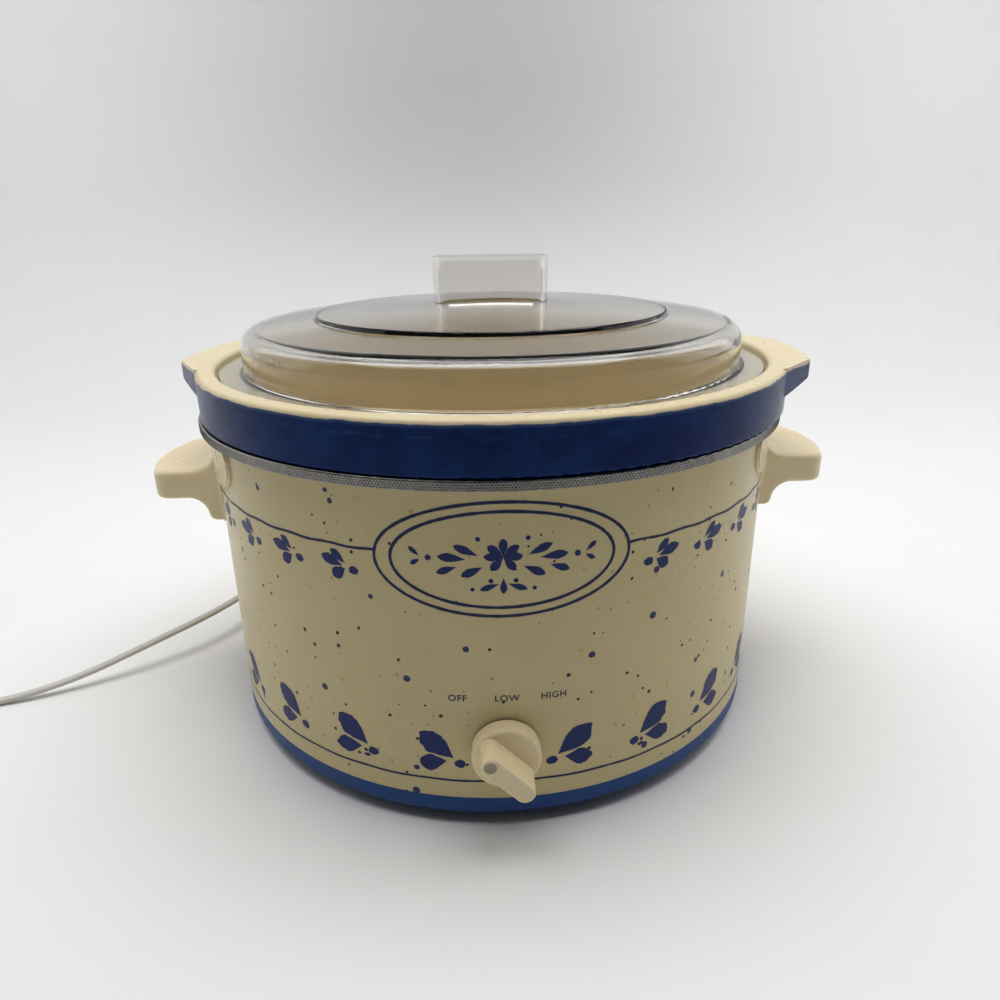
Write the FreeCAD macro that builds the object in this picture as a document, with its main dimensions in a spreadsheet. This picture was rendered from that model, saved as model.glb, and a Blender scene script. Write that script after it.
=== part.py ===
import FreeCAD, Part
import math
import os
import re
from FreeCAD import Placement, Rotation, Vector
import Sketcher

# A round slow cooker: heated body, lift-out stoneware crock, lid, knob and cord.
# Millimetres.  +Z up, the floor at z = 0, the pot's axis on Z, the knob towards -Y.

os.makedirs("parts", exist_ok=True)
doc = FreeCAD.newDocument("SlowCooker")

# ---------------------------------------------------------------- driving sizes

# A value that starts with = follows other sizes.
SIZES = {
    # body
    "body_radius": (135, "outside of the painted wrap"),
    "shell_wall": (0.6, "steel sheet of the wrap"),
    "shell_height": (134.8, "wrap, from the base ring to the trim ring"),
    "foot_height": (6, "gap under the base ring"),
    "base_height": (8.1, "base ring that shows under the wrap"),
    "base_wall": (2.6, "moulded wall of the base ring"),
    "spigot_height": (8, "part of the base ring inside the wrap"),
    "flange_rise": (3, "underside of the ring's flange above its lower edge"),
    "flange_width": (35, "base ring's flange"),
    "flange_inner": ("=body_radius - flange_width", "hole in the base ring's flange"),
    "fit_gap": (0.1, "air between fixed pieces that fit each other"),
    "trim_overhang": (5, "trim ring outside the wrap"),
    "trim_radius": ("=body_radius + trim_overhang", "outside of the knurled trim ring"),
    "trim_height": (4.3, "trim ring"),
    "trim_wall": (0.8, "trim ring's sheet"),
    "trim_lap": (10, "width of the trim ring's top"),
    "trim_inner": ("=trim_radius - trim_lap", "hole in the top of the trim ring"),
    "hem_thick": (1.2, "folded hem of the wrap and of the liner"),
    # liner and its fixing
    "pan_gap": (9, "from the wrap's outside to the liner's inside"),
    "pan_radius": ("=body_radius - pan_gap", "inside of the liner"),
    "pan_wall": (0.8, "liner's sheet"),
    "pan_floor": (54, "inside floor of the liner above the ground"),
    "pan_corner": (12, "inside corner of the liner"),
    "stud_radius": (2.5, "centre stud"),
    "stud_end": (2.3, "lower end of the centre stud above the ground"),
    "spacer_radius": (6, "outside of the spacer tube"),
    "washer_thick": (0.8, "centre, handle and switch washers"),
    "nut_height": (3.9, "centre nut"),
    "nut_radius": (4.6, "centre nut, half across corners"),
    # bottom cover and feet
    "cover_lap": (9, "bottom cover under the flange"),
    "cover_radius": ("=flange_inner + cover_lap", "bottom cover"),
    "cover_wall": (0.8, "bottom cover's sheet"),
    "cover_screw_inset": (4, "cover screws off the flange's hole"),
    "cover_screw_circle": ("=flange_inner + cover_screw_inset", "radius of the cover screws' circle"),
    "cover_screw_radius": (1.45, "cover screw's shank"),
    "cover_head_radius": (3.2, "cover screw's head"),
    "cover_head_height": (2, "cover screw's head"),
    "cover_boss_radius": (4, "boss that takes a cover screw"),
    "cover_boss_height": (7, "boss above the flange"),
    "foot_inset": (15, "feet's middles from the base ring's edge"),
    "foot_circle": ("=body_radius - foot_inset", "radius of the feet's circle"),
    "foot_radius": (9.8, "foot on the ground"),
    "foot_stem_radius": (2.9, "foot's push-in stem"),
    "foot_barb_radius": (4.2, "foot's barb above the flange"),
    "foot_barb_height": (2, "foot's barb"),
    "vent_length": (22, "vent slot in the cover"),
    "vent_width": (3.2, "vent slot in the cover"),
    "vent_circle": (74, "radius of the vents' circle"),
    # heater
    "heater_thick": (1.6, "heating band"),
    "heater_inset": (3, "heating band inside the blanket's edges"),
    "heater_bottom": ("=blanket_bottom + heater_inset", "lower edge of the heating band"),
    "heater_height": ("=blanket_height - 2 * heater_inset", "heating band"),
    "heater_span": (350, "degrees of the liner that the band covers"),
    "strap_thick": (0.5, "clamp strap"),
    "strap_width": (12, "clamp strap"),
    "strap_clear": (3, "clamp strap above the heater's terminals"),
    "strap_span": (352, "degrees that the strap covers"),
    "strap_ear": (4.2, "turned-out end of the strap"),
    "strap_ear_thick": (1.2, "turned-out end of the strap"),
    "strap_screw_radius": (1.5, "strap's clamp screw"),
    "blanket_thick": (4.2, "insulation blanket"),
    "blanket_bottom": (67, "lower edge of the blanket"),
    "blanket_clear": (7.75, "blanket's top under the handle screws"),
    "blanket_height": ("=handle_top - handle_thick / 2 - blanket_clear - blanket_bottom", "blanket"),
    "blanket_span": (316, "degrees that the blanket covers"),
    "terminal_width": (5, "heater terminal"),
    "terminal_thick": (1.6, "heater terminal"),
    "terminal_length": (9, "heater terminal"),
    # switch and knob
    "knob_height": (39, "knob's axis above the ground"),
    "knob_radius": (13.75, "knob's disc"),
    "knob_skirt": (7, "depth of the knob's disc"),
    "knob_gap": (0.6, "air between the knob and the wrap"),
    "knob_recess_radius": (10.2, "hollow in the back of the knob"),
    "knob_recess": (4, "depth of that hollow"),
    "grip_length": (26, "knob's bar grip"),
    "grip_width": (8.2, "knob's bar grip"),
    "grip_height": (12, "bar grip in front of the disc"),
    "knob_edge": (1.6, "rounded rim of the knob's disc"),
    "grip_edge": (1, "rounded edge of the bar grip"),
    "off_angle": (45, "knob's turn from upright at OFF"),
    "shaft_radius": (3, "switch shaft"),
    "shaft_run": (0.05, "running clearance round the shaft"),
    "shaft_flat": (2, "flat of the shaft from its axis"),
    "shaft_in": (10, "shaft behind the switch's front"),
    "shaft_out": (18.5, "shaft in front of the switch's front"),
    "clip_thick": (0.4, "spring clip on the shaft's flat"),
    "clip_length": (8, "spring clip"),
    "clip_width": (3, "spring clip"),
    "switch_size": (26, "switch body, square"),
    "switch_depth": (14, "switch body"),
    "switch_setback": (1.4, "switch's front behind the wrap's outside"),
    "bushing_radius": (4.8, "switch's threaded neck"),
    "bushing_length": (5.6, "switch's threaded neck"),
    "switch_nut_radius": (7, "switch nut, half across corners"),
    "switch_nut_height": (2, "switch nut"),
    "tab_width": (6.3, "switch's blade terminals"),
    "tab_thick": (0.8, "switch's blade terminals"),
    "tab_length": (8, "switch's blade terminals"),
    # handles
    "handle_half": (30, "half of the grip's width along the wall"),
    "handle_reach": (29, "grip's corners off the wrap"),
    "handle_corner_x": ("=body_radius + handle_reach", "grip's corners from the pot's axis"),
    "handle_bow": (6.5, "outward bow of the grip's edge"),
    "handle_corner": (8, "grip's plan corner"),
    "handle_drop": (24.9, "top of the grip under the trim ring"),
    "handle_top": ("=foot_height + base_height + shell_height - handle_drop", "top of the grip"),
    "handle_thick": (14.5, "grip"),
    "handle_root": (1.4, "handle's plate on the wrap"),
    "handle_plate_rise": (22.5, "upper edge of the plate over the grip"),
    "handle_plate_top": ("=handle_top + handle_plate_rise", "upper edge of the plate"),
    "handle_bracket_drop": (11, "lower end of the bracket under the grip"),
    "handle_plate_bottom": ("=handle_top - handle_thick - handle_bracket_drop", "lower end of the bracket"),
    "handle_bracket": (8.5, "bracket under the grip, off the wrap"),
    "handle_upper_sweep": (12, "hollow between the plate and the grip"),
    "handle_lower_sweep": (9, "hollow between the bracket and the grip"),
    "handle_edge": (3, "rounded edge along the top of the grip"),
    "handle_under_edge": (2.5, "rounded edge under the grip"),
    "wing_half": (76, "half of the plate's width"),
    "wing_drop": (17, "plate's straight end"),
    "wing_shoulder": (50, "plate narrows to the bracket here"),
    "handle_screw_spread": (36, "between a handle's two screws"),
    "handle_screw_radius": (1.7, "handle screw's shank"),
    "handle_screw_length": (17, "handle screw's shank"),
    "handle_head_radius": (3.4, "handle screw's head"),
    "handle_head_height": (1.6, "handle screw's head"),
    # crock
    "crock_overhang": (0.2, "blue band outside the trim ring"),
    "crock_radius": ("=trim_radius + crock_overhang", "blue band"),
    "crock_lift": (0.4, "air between the crock's band and the trim ring"),
    "band_height": (20.6, "from the underside of the band to the rim"),
    "rim_width": (8.7, "rim"),
    "rim_radius": ("=crock_radius - rim_width", "inner edge of the rim"),
    "seat_drop": (5, "lid's seat below the rim"),
    "crock_play": (1.6, "air round the bowl in the liner"),
    "crock_top_radius": ("=pan_radius - crock_play", "outside of the bowl under the band"),
    "crock_taper": (3.4, "narrowing of the bowl to its base"),
    "crock_bottom_radius": ("=crock_top_radius - crock_taper", "outside of the bowl at its base"),
    "crock_wall": (7, "bowl's wall"),
    "crock_floor": (8, "bowl's floor"),
    "crock_hang": (2, "air between the crock and the liner's floor"),
    "crock_corner": (14, "outside corner of the bowl"),
    "crock_turn": (-6, "crock as set down, off the pot's front"),
    "crock_shift": (1.2, "crock as set down, off the pot's axis"),
    "ear_reach": (9.8, "ears outside the band"),
    "ear_radius": ("=crock_radius + ear_reach", "outer edge of the ears"),
    "ear_thick": (8.6, "ear at its edge"),
    "ear_root_thick": (12.5, "ear where it meets the band"),
    "ear_tip_half": (28.6, "half of the ear's width at its edge"),
    "ear_root_half": (52.5, "half of the ear's width at the band"),
    # lid
    "lid_gap": (0.35, "air between the lid and its seat"),
    "lid_flange": (2, "thickness of the lid's flange"),
    "lid_side_gap": (0.7, "air round the lid's flange"),
    "lid_wall_inset": (12.2, "lid's wall off the rim's inner edge"),
    "lid_wall_radius": ("=rim_radius - lid_wall_inset", "outside of the lid's wall"),
    "lid_wall": (2.8, "lid's wall"),
    "lid_shoulder_height": (20.2, "lid's shoulder above its flange's underside"),
    "lid_shoulder": (8, "rounded shoulder"),
    "lid_step_radius": (85.5, "raised middle of the lid"),
    "lid_slope": (3.2, "rise from the shoulder to the step"),
    "lid_step": (1.8, "step round the raised middle"),
    "lid_crown": (4, "rise from the step to the middle"),
    "lid_grip_half": (27.7, "half of the lid grip's length"),
    "lid_grip_depth": (23, "lid grip, front to back"),
    "lid_grip_height": (20.4, "lid grip above the middle"),
    "lid_grip_wall": (2.6, "lid grip's wall"),
    # cord
    "cord_width": (4.8, "flat two-core cord"),
    "cord_thick": (2.6, "flat two-core cord"),
    "cord_exit": (30, "cord's exit above the ground"),
    "relief_radius": (6.4, "strain relief in the wrap"),
    "relief_tip_radius": (3.6, "strain relief's thin end"),
    "relief_length": (26, "strain relief outside the wrap"),
    "relief_flange": (7.4, "strain relief's inner flange"),
    "relief_inside": (3, "strain relief's inner flange"),
    "relief_collar_radius": (8.2, "strain relief's outer collar"),
    "relief_collar_thick": (1.6, "strain relief's outer collar"),
    "splice_half": (3, "each joint off the cord's middle"),
    "splice_radius": (2, "crimped joint between cord and lead"),
    "splice_length": (12, "crimped joint between cord and lead"),
    "lead_radius": (1.2, "insulated lead"),
    "coil_x": (-316, "middle of the put-away coil"),
    "coil_y": (-72, "middle of the put-away coil"),
    "coil_radius": (27, "middle of the coil's turns"),
    "coil_width": (10.4, "coil, across its turns"),
    "coil_height": (6.2, "coil"),
    "plug_length": (30, "plug body"),
    "plug_width": (22, "plug body"),
    "plug_thick": (13, "plug body"),
    "plug_corner": (3.5, "plug body's long edges"),
    "blade_length": (16, "plug blade"),
    "blade_width": (6.3, "plug blade"),
    "blade_thick": (1.5, "plug blade"),
    "blade_spread": (12.7, "between the two blades"),
    "tie_width": (6, "tie round the coil"),
    "tie_thick": (0.8, "tie round the coil"),
}

sheet = doc.addObject("Spreadsheet::Sheet", "Sizes")
for row, (name, (value, note)) in enumerate(SIZES.items(), start=1):
    sheet.set(f"A{row}", name)
    sheet.set(f"C{row}", note)
    sheet.setAlias(f"B{row}", name)
for row, (value, note) in enumerate(SIZES.values(), start=1):
    sheet.set(f"B{row}", str(value))
doc.recompute()


def bound(formula):
    """The formula with each size's name pointing at its cell."""
    return re.sub(r"[a-z_]+", lambda word: "Sizes." + word[0] if word[0] in SIZES else word[0], str(formula))


def size(formula):
    """The number that a formula of sizes gives now."""
    return float(eval_formula(bound(formula)))


def eval_formula(text):
    answer = sheet.evalExpression(text)
    return getattr(answer, "Value", answer)


def bind(target, prop, formula):
    target.setExpression(prop, bound(formula))


# Levels, from the ground up, as formulas of the sizes.
base_bottom = "foot_height"
shell_bottom = "(foot_height + base_height)"
flange_bottom = "(foot_height + flange_rise)"
flange_top = "(foot_height + flange_rise + base_wall)"
trim_bottom = "(foot_height + base_height + shell_height)"
trim_top = "(foot_height + base_height + shell_height + trim_height)"
hem_bottom = f"({trim_bottom} + trim_wall + fit_gap)"
pan_rim = f"({hem_bottom} + hem_thick + fit_gap)"
hem_radius = "(trim_radius - trim_wall - fit_gap)"
pan_outer = "(pan_radius + pan_wall)"
pan_under = "(pan_floor - pan_wall)"
cover_top = f"({flange_bottom} - fit_gap)"
band_bottom = f"({trim_top} + crock_lift)"
rim_top = f"({band_bottom} + band_height)"
seat = f"({rim_top} - seat_drop)"
crock_base = "(pan_floor + crock_hang)"
lid_under = f"({seat} + lid_gap)"
lid_top = f"({lid_under} + lid_shoulder_height + lid_slope + lid_step + lid_crown)"


# ---------------------------------------------------------------- drawing aids

def draw_outline(sketch, corners):
    """Closed outline of straight sides; a corner is (across, up) or (across, up, radius)."""
    points = [Vector(size(corner[0]), size(corner[1]), 0) for corner in corners]
    count = len(points)
    arrive, leave = [], []
    for index, corner in enumerate(corners):
        here = points[index]
        if len(corner) == 2:
            arrive.append(here)
            leave.append(here)
            continue
        back = (points[index - 1] - here).normalize()
        ahead = (points[(index + 1) % count] - here).normalize()
        half = back.getAngle(ahead) / 2
        reach = size(corner[2]) / math.tan(half)
        arrive.append(here + back * reach)
        leave.append(here + ahead * reach)
    sides = []
    for index in range(count):
        line = Part.LineSegment(leave[index], arrive[(index + 1) % count])
        sides.append(sketch.addGeometry(line, False))
    for index, corner in enumerate(corners):
        before, after = sides[index - 1], sides[index]
        if len(corner) == 2:
            sketch.addConstraint(Sketcher.Constraint("Coincident", before, 2, after, 1))
            place_point(sketch, after, 1, corner)
            continue
        here = points[index]
        towards = (arrive[index] + leave[index]) * 0.5 - here
        reach = arrive[index].distanceToPoint(here)
        radius = size(corner[2])
        slant = math.hypot(reach, radius)
        middle = here + towards.normalize() * (slant - radius)
        arc = sketch.addGeometry(Part.Arc(arrive[index], middle, leave[index]), False)
        vertex = sketch.addGeometry(Part.Point(here), True)
        place_point(sketch, vertex, 1, corner)
        sketch.addConstraint(Sketcher.Constraint("PointOnObject", vertex, 1, before))
        sketch.addConstraint(Sketcher.Constraint("PointOnObject", vertex, 1, after))
        ends = (1, 2)
        if sketch.getPoint(arc, 1).distanceToPoint(arrive[index]) > reach * 0.5:
            ends = (2, 1)
        sketch.addConstraint(Sketcher.Constraint("Tangent", before, 2, arc, ends[0]))
        sketch.addConstraint(Sketcher.Constraint("Tangent", arc, ends[1], after, 1))
        rule = sketch.addConstraint(Sketcher.Constraint("Radius", arc, radius))
        bind(sketch, f"Constraints[{rule}]", corner[2])


def place_point(sketch, part, end, corner):
    """Ties a point of the sketch to the two formulas of its corner."""
    for kind, axis, formula in (("DistanceX", -2, corner[0]), ("DistanceY", -1, corner[1])):
        if abs(size(formula)) < 1e-9:
            sketch.addConstraint(Sketcher.Constraint("PointOnObject", part, end, axis))
            continue
        rule = sketch.addConstraint(Sketcher.Constraint(kind, -1, 1, part, end, size(formula)))
        bind(sketch, f"Constraints[{rule}]", formula)


def new_body(name):
    body = doc.addObject("PartDesign::Body", name)
    body.Label = name
    return body


def new_sketch(body, plane, name, offset="0"):
    sketch = body.newObject("Sketcher::SketchObject", name)
    for feature in body.Origin.OriginFeatures:
        if feature.Role == plane:
            sketch.AttachmentSupport = (feature, "")
    sketch.MapMode = "FlatFace"
    if offset != "0":
        bind(sketch, "AttachmentOffset.Base.z", offset)
    return sketch


def revolve(name, corners):
    """A body turned about the pot's axis from its half section."""
    body = new_body(name)
    sketch = new_sketch(body, "XZ_Plane", name + "_section")
    draw_outline(sketch, corners)
    turn = body.newObject("PartDesign::Revolution", name + "_turned")
    turn.Profile = sketch
    turn.ReferenceAxis = (sketch, ["V_Axis"])
    turn.Angle = 360
    doc.recompute()
    return body


def circles(body, plane, name, spots, offset="0"):
    """A sketch of circles; a spot is (across, up, radius)."""
    sketch = new_sketch(body, plane, name, offset)
    for across, up, radius in spots:
        centre = Vector(size(across), size(up), 0)
        ring = sketch.addGeometry(Part.Circle(centre, Vector(0, 0, 1), size(radius)), False)
        place_point(sketch, ring, 3, (across, up))
        rule = sketch.addConstraint(Sketcher.Constraint("Radius", ring, size(radius)))
        bind(sketch, f"Constraints[{rule}]", radius)
    return sketch


def outline_sketch(body, plane, name, corners, offset="0"):
    sketch = new_sketch(body, plane, name, offset)
    draw_outline(sketch, corners)
    return sketch


def extrude(body, kind, sketch, length, backwards=False, both_ways=False):
    """A Pad or a Pocket of a sketch; a cut has to take something away."""
    doc.recompute()
    before = body.Shape.Volume if body.Tip and not body.Shape.isNull() else 0
    feature = body.newObject("PartDesign::" + kind, sketch.Name + "_" + kind.lower())
    feature.Profile = sketch
    bind(feature, "Length", length)
    feature.Reversed = backwards
    if both_ways:
        feature.SideType = "Symmetric"
    doc.recompute()
    if kind == "Pocket" and not body.Shape.Volume < before:
        raise RuntimeError(f"{feature.Name} takes nothing away")
    return feature


def round_edges(body, name, radius, wanted):
    """A Fillet along the edges of the body that the test picks."""
    base = body.Tip
    names = [f"Edge{place}" for place, edge in enumerate(body.Shape.Edges, start=1) if wanted(edge)]
    fillet = body.newObject("PartDesign::Fillet", name)
    fillet.Base = (base, names)
    bind(fillet, "Radius", radius)
    doc.recompute()
    return fillet


def repeat_round(body, features, count):
    """The features again, evenly round the pot's axis."""
    pattern = body.newObject("PartDesign::PolarPattern", features[0].Name + "_round")
    pattern.Originals = features
    axis = [feature for feature in body.Origin.OriginFeatures if feature.Role == "Z_Axis"][0]
    pattern.Axis = (axis, [""])
    pattern.Angle = 360
    pattern.Occurrences = count
    body.Tip = pattern
    doc.recompute()
    return pattern


def cylinder(name, radius, height, bottom="0", span=360):
    piece = doc.addObject("Part::Cylinder", name)
    bind(piece, "Radius", radius)
    bind(piece, "Height", height)
    if span != 360:
        bind(piece, "Angle", span)
    bind(piece, "Placement.Base.z", bottom)
    return piece


def box(name, width, depth, height, corner):
    piece = doc.addObject("Part::Box", name)
    bind(piece, "Length", width)
    bind(piece, "Width", depth)
    bind(piece, "Height", height)
    for axis, formula in zip("xyz", corner):
        bind(piece, f"Placement.Base.{axis}", formula)
    return piece


def cut(name, base, tool):
    piece = doc.addObject("Part::Cut", name)
    piece.Base = base
    piece.Tool = tool
    return piece


def fuse(name, pieces):
    piece = doc.addObject("Part::MultiFuse", name)
    piece.Shapes = pieces
    return piece


def common(name, first, second):
    piece = doc.addObject("Part::Common", name)
    piece.Base = first
    piece.Tool = second
    return piece


def hexagon(name, radius, height, bottom):
    piece = doc.addObject("Part::Prism", name)
    piece.Polygon = 6
    bind(piece, "Circumradius", radius)
    bind(piece, "Height", height)
    bind(piece, "Placement.Base.z", bottom)
    return piece


def tube(name, outer, inner, height, bottom, span=360):
    """A straight tube, or a part of one, standing on a level."""
    solid = cylinder(name + "_outside", outer, height, bottom, span)
    hole = cylinder(name + "_inside", inner, f"{height} + 2", f"{bottom} - 1")
    return cut(name, solid, hole)


def copies(name, source, places):
    """Identical loose pieces kept together as one group of separate solids."""
    doc.recompute()
    group = doc.addObject("Part::Feature", name)
    group.Shape = Part.Compound([source.Shape.transformed(place.toMatrix()) for place in places])
    group.Label = name
    return group


def round_the_axis(radius, count, first):
    """Places on a circle about the pot's axis, degrees from +X."""
    return [Placement(Vector(), Rotation(Vector(0, 0, 1), first + 360 * step / count)) *
            Placement(Vector(size(radius), 0, 0), Rotation()) for step in range(count)]


def rounded_path(points):
    """Straight runs joined by tangent arcs, each as large as its two runs allow."""
    edges, radii, start = [], [], points[0]
    for before, here, after in zip(points, points[1:], points[2:]):
        back, ahead = before - here, after - here
        half = back.getAngle(ahead) / 2
        reach = 0.45 * min(back.Length, ahead.Length)
        radius = reach * math.tan(half)
        radii.append(radius)
        back.normalize()
        ahead.normalize()
        arrive, leave = here + back * reach, here + ahead * reach
        inward = (back + ahead).normalize()
        middle = here + inward * (radius / math.sin(half) - radius)
        edges.append(Part.LineSegment(start, arrive).toShape())
        edges.append(Part.Arc(arrive, middle, leave).toShape())
        start = leave
    edges.append(Part.LineSegment(start, points[-1]).toShape())
    return Part.Wire(edges), radii


def round_lead(name, points, radius):
    """An insulated wire of round section along a route."""
    path, radii = rounded_path(points)
    ring = Part.Circle(points[0], points[1] - points[0], size(radius))
    lead = doc.addObject("Part::Feature", name)
    lead.Shape = path.makePipeShell([Part.Wire(ring.toShape())], True, False)
    lead.Label = name
    return lead


# ---------------------------------------------------------------- base ring, cover and feet

spigot = "(body_radius - shell_wall - fit_gap)"
base_ring = revolve("base_ring", [
    ("body_radius", base_bottom, "1.5"),
    ("body_radius", shell_bottom),
    (spigot, shell_bottom),
    (spigot, f"{shell_bottom} + spigot_height"),
    (f"{spigot} - base_wall", f"{shell_bottom} + spigot_height"),
    (f"{spigot} - base_wall", flange_top),
    ("flange_inner", flange_top),
    ("flange_inner", flange_bottom),
    ("body_radius - base_wall", flange_bottom),
    ("body_radius - base_wall", base_bottom),
])
boss = extrude(
    base_ring, "Pad",
    circles(base_ring, "XY_Plane", "cover_boss",
            [("cover_screw_circle", "0", "cover_boss_radius")], flange_bottom),
    "base_wall + cover_boss_height")
repeat_round(base_ring, [boss], 4)
boss_hole = extrude(
    base_ring, "Pocket",
    circles(base_ring, "XY_Plane", "cover_boss_hole",
            [("cover_screw_circle", "0", "cover_screw_radius + fit_gap")], flange_bottom),
    "base_wall + cover_boss_height - 1", backwards=True)
repeat_round(base_ring, [boss_hole], 4)
foot_hole = extrude(
    base_ring, "Pocket",
    circles(base_ring, "XY_Plane", "foot_hole",
            [("foot_circle * cos(45)", "foot_circle * sin(45)", "foot_stem_radius + fit_gap")],
            flange_bottom),
    "base_wall + 1", backwards=True)
repeat_round(base_ring, [foot_hole], 4)

foot_body = doc.addObject("Part::Cone", "foot_block")
bind(foot_body, "Radius1", "foot_radius")
bind(foot_body, "Radius2", "foot_radius - 0.8")
bind(foot_body, "Height", f"{flange_bottom} - fit_gap")
foot = fuse("foot", [
    foot_body,
    cylinder("foot_stem", "foot_stem_radius", "base_wall + 2 * fit_gap", f"{flange_bottom} - fit_gap"),
    cylinder("foot_barb", "foot_barb_radius", "foot_barb_height", f"{flange_top} + fit_gap"),
])
feet = copies("feet", foot, round_the_axis("foot_circle", 4, 45))

bottom_cover = new_body("bottom_cover")
extrude(bottom_cover, "Pad",
        circles(bottom_cover, "XY_Plane", "cover_disc", [("0", "0", "cover_radius")],
                f"{cover_top} - cover_wall"),
        "cover_wall")
extrude(bottom_cover, "Pocket",
        circles(bottom_cover, "XY_Plane", "stud_hole", [("0", "0", "stud_radius + fit_gap")],
                f"{cover_top} + 1"),
        "cover_wall + 2")
cover_hole = extrude(
    bottom_cover, "Pocket",
    circles(bottom_cover, "XY_Plane", "cover_hole", [("cover_screw_circle", "0", "cover_screw_radius + 0.5")],
            f"{cover_top} + 1"),
    "cover_wall + 2")
repeat_round(bottom_cover, [cover_hole], 4)
vent = extrude(
    bottom_cover, "Pocket",
    outline_sketch(bottom_cover, "XY_Plane", "vent", [
        ("vent_circle - vent_length / 2", "-vent_width / 2", "vent_width / 2.1"),
        ("vent_circle + vent_length / 2", "-vent_width / 2", "vent_width / 2.1"),
        ("vent_circle + vent_length / 2", "vent_width / 2", "vent_width / 2.1"),
        ("vent_circle - vent_length / 2", "vent_width / 2", "vent_width / 2.1"),
    ], f"{cover_top} + 1"),
    "cover_wall + 2")
repeat_round(bottom_cover, [vent], 16)

cover_under = f"({cover_top} - cover_wall)"
cover_screw = fuse("cover_screw", [
    cylinder("cover_screw_head", "cover_head_radius", "cover_head_height",
             f"{cover_under} - cover_head_height"),
    cylinder("cover_screw_shank", "cover_screw_radius", "cover_wall + base_wall + cover_boss_height - 2",
             cover_under),
])
cover_screws = copies("cover_screws", cover_screw, round_the_axis("cover_screw_circle", 4, 0))

# ---------------------------------------------------------------- wrap, trim ring and liner

outer_shell = revolve("outer_shell", [
    ("body_radius - shell_wall", shell_bottom),
    ("body_radius", shell_bottom),
    ("body_radius", hem_bottom),
    (hem_radius, hem_bottom),
    (hem_radius, f"{hem_bottom} + hem_thick"),
    ("body_radius - shell_wall", f"{hem_bottom} + hem_thick"),
])
extrude(outer_shell, "Pocket",
        circles(outer_shell, "XZ_Plane", "switch_hole", [("0", "knob_height", "bushing_radius + fit_gap")]),
        "body_radius + 2", backwards=True)
extrude(outer_shell, "Pocket",
        circles(outer_shell, "XZ_Plane", "cord_hole", [("0", "cord_exit", "relief_radius + fit_gap")]),
        "body_radius + 2")
handle_screw_level = "(handle_top - handle_thick / 2)"
extrude(outer_shell, "Pocket",
        circles(outer_shell, "YZ_Plane", "handle_holes", [
            (f"{side}handle_screw_spread / 2", handle_screw_level, "handle_screw_radius + 0.3")
            for side in ("-", "")]),
        "2 * body_radius + 4", both_ways=True)

trim_ring = revolve("trim_ring", [
    ("body_radius + fit_gap", trim_bottom),
    ("trim_radius", trim_bottom, "0.7"),
    ("trim_radius", trim_top, "0.7"),
    ("trim_inner", trim_top),
    ("trim_inner", f"{trim_top} - trim_wall"),
    ("trim_radius - trim_wall", f"{trim_top} - trim_wall"),
    ("trim_radius - trim_wall", f"{trim_bottom} + trim_wall"),
    ("body_radius + fit_gap", f"{trim_bottom} + trim_wall"),
])

inner_pan = revolve("inner_pan", [
    ("0", pan_under),
    (pan_outer, pan_under, "pan_corner + pan_wall"),
    (pan_outer, pan_rim, "1.5"),
    (hem_radius, pan_rim),
    (hem_radius, f"{pan_rim} + hem_thick"),
    ("pan_radius", f"{pan_rim} + hem_thick", "2.3"),
    ("pan_radius", "pan_floor", "pan_corner"),
    ("0", "pan_floor"),
])

centre_stud = cylinder("centre_stud", "stud_radius", f"{pan_under} - stud_end", "stud_end")
spacer_tube = tube("spacer_tube", "spacer_radius", "stud_radius + 0.4",
                   f"({pan_under} - {cover_top} - 2 * fit_gap)", f"({cover_top} + fit_gap)")
centre_washer = tube("centre_washer", "nut_radius + 2.4", "stud_radius + 0.2", "washer_thick",
                     f"({cover_under} - fit_gap - washer_thick)")
nut_top = f"({cover_under} - 2 * fit_gap - washer_thick)"
centre_nut = cut("centre_nut",
                 hexagon("centre_nut_block", "nut_radius", "nut_height", f"{nut_top} - nut_height"),
                 cylinder("centre_nut_thread", "stud_radius + fit_gap", "nut_height + 2",
                          f"{nut_top} - nut_height - 1"))

# ---------------------------------------------------------------- heater, strap and blanket

heater_inner = f"({pan_outer} + fit_gap)"
heater_outer = f"({heater_inner} + heater_thick)"
strap_inner = f"({heater_outer} + fit_gap)"
strap_outer = f"({strap_inner} + strap_thick)"


def open_at_back(name, outer, inner, height, bottom, span):
    """A ring round the liner with its gap at the back."""
    ring = tube(name, outer, inner, height, bottom, span)
    outside = ring.Base
    outside.setExpression("Placement.Rotation.Angle", bound(f"90 + (360 - {span}) / 2"))
    outside.setExpression("Placement.Rotation.Axis.z", "1")
    return ring


heating_band = open_at_back("heating_band", heater_outer, heater_inner, "heater_height", "heater_bottom",
                            "heater_span")
strap_bottom = "(heater_bottom + terminal_length + strap_clear)"
strap_ring = open_at_back("strap_ring", strap_outer, strap_inner, "strap_width", strap_bottom, "strap_span")
strap_level = f"({strap_bottom} + strap_width / 2)"
strap_gap = f"({strap_outer} * sin((360 - strap_span) / 2))"
ear_back = f"({strap_inner} * cos((360 - strap_span) / 2))"
strap_ears = [
    box(f"strap_ear_{number}", "strap_ear_thick", "strap_ear", "strap_width",
        (across, ear_back, strap_bottom))
    for number, across in enumerate((f"-{strap_gap} - strap_ear_thick", strap_gap), start=1)
]
strap_blank = fuse("strap_blank", [strap_ring] + strap_ears)
strap_screw_back = f"({ear_back} + strap_ear / 2 + 0.4)"


def along_x(piece, start, back, level):
    """Turns an upright piece so that it runs along +X from a point."""
    piece.Placement.Rotation = Rotation(Vector(0, 1, 0), 90)
    bind(piece, "Placement.Base.x", start)
    bind(piece, "Placement.Base.y", back)
    bind(piece, "Placement.Base.z", level)
    return piece


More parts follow.
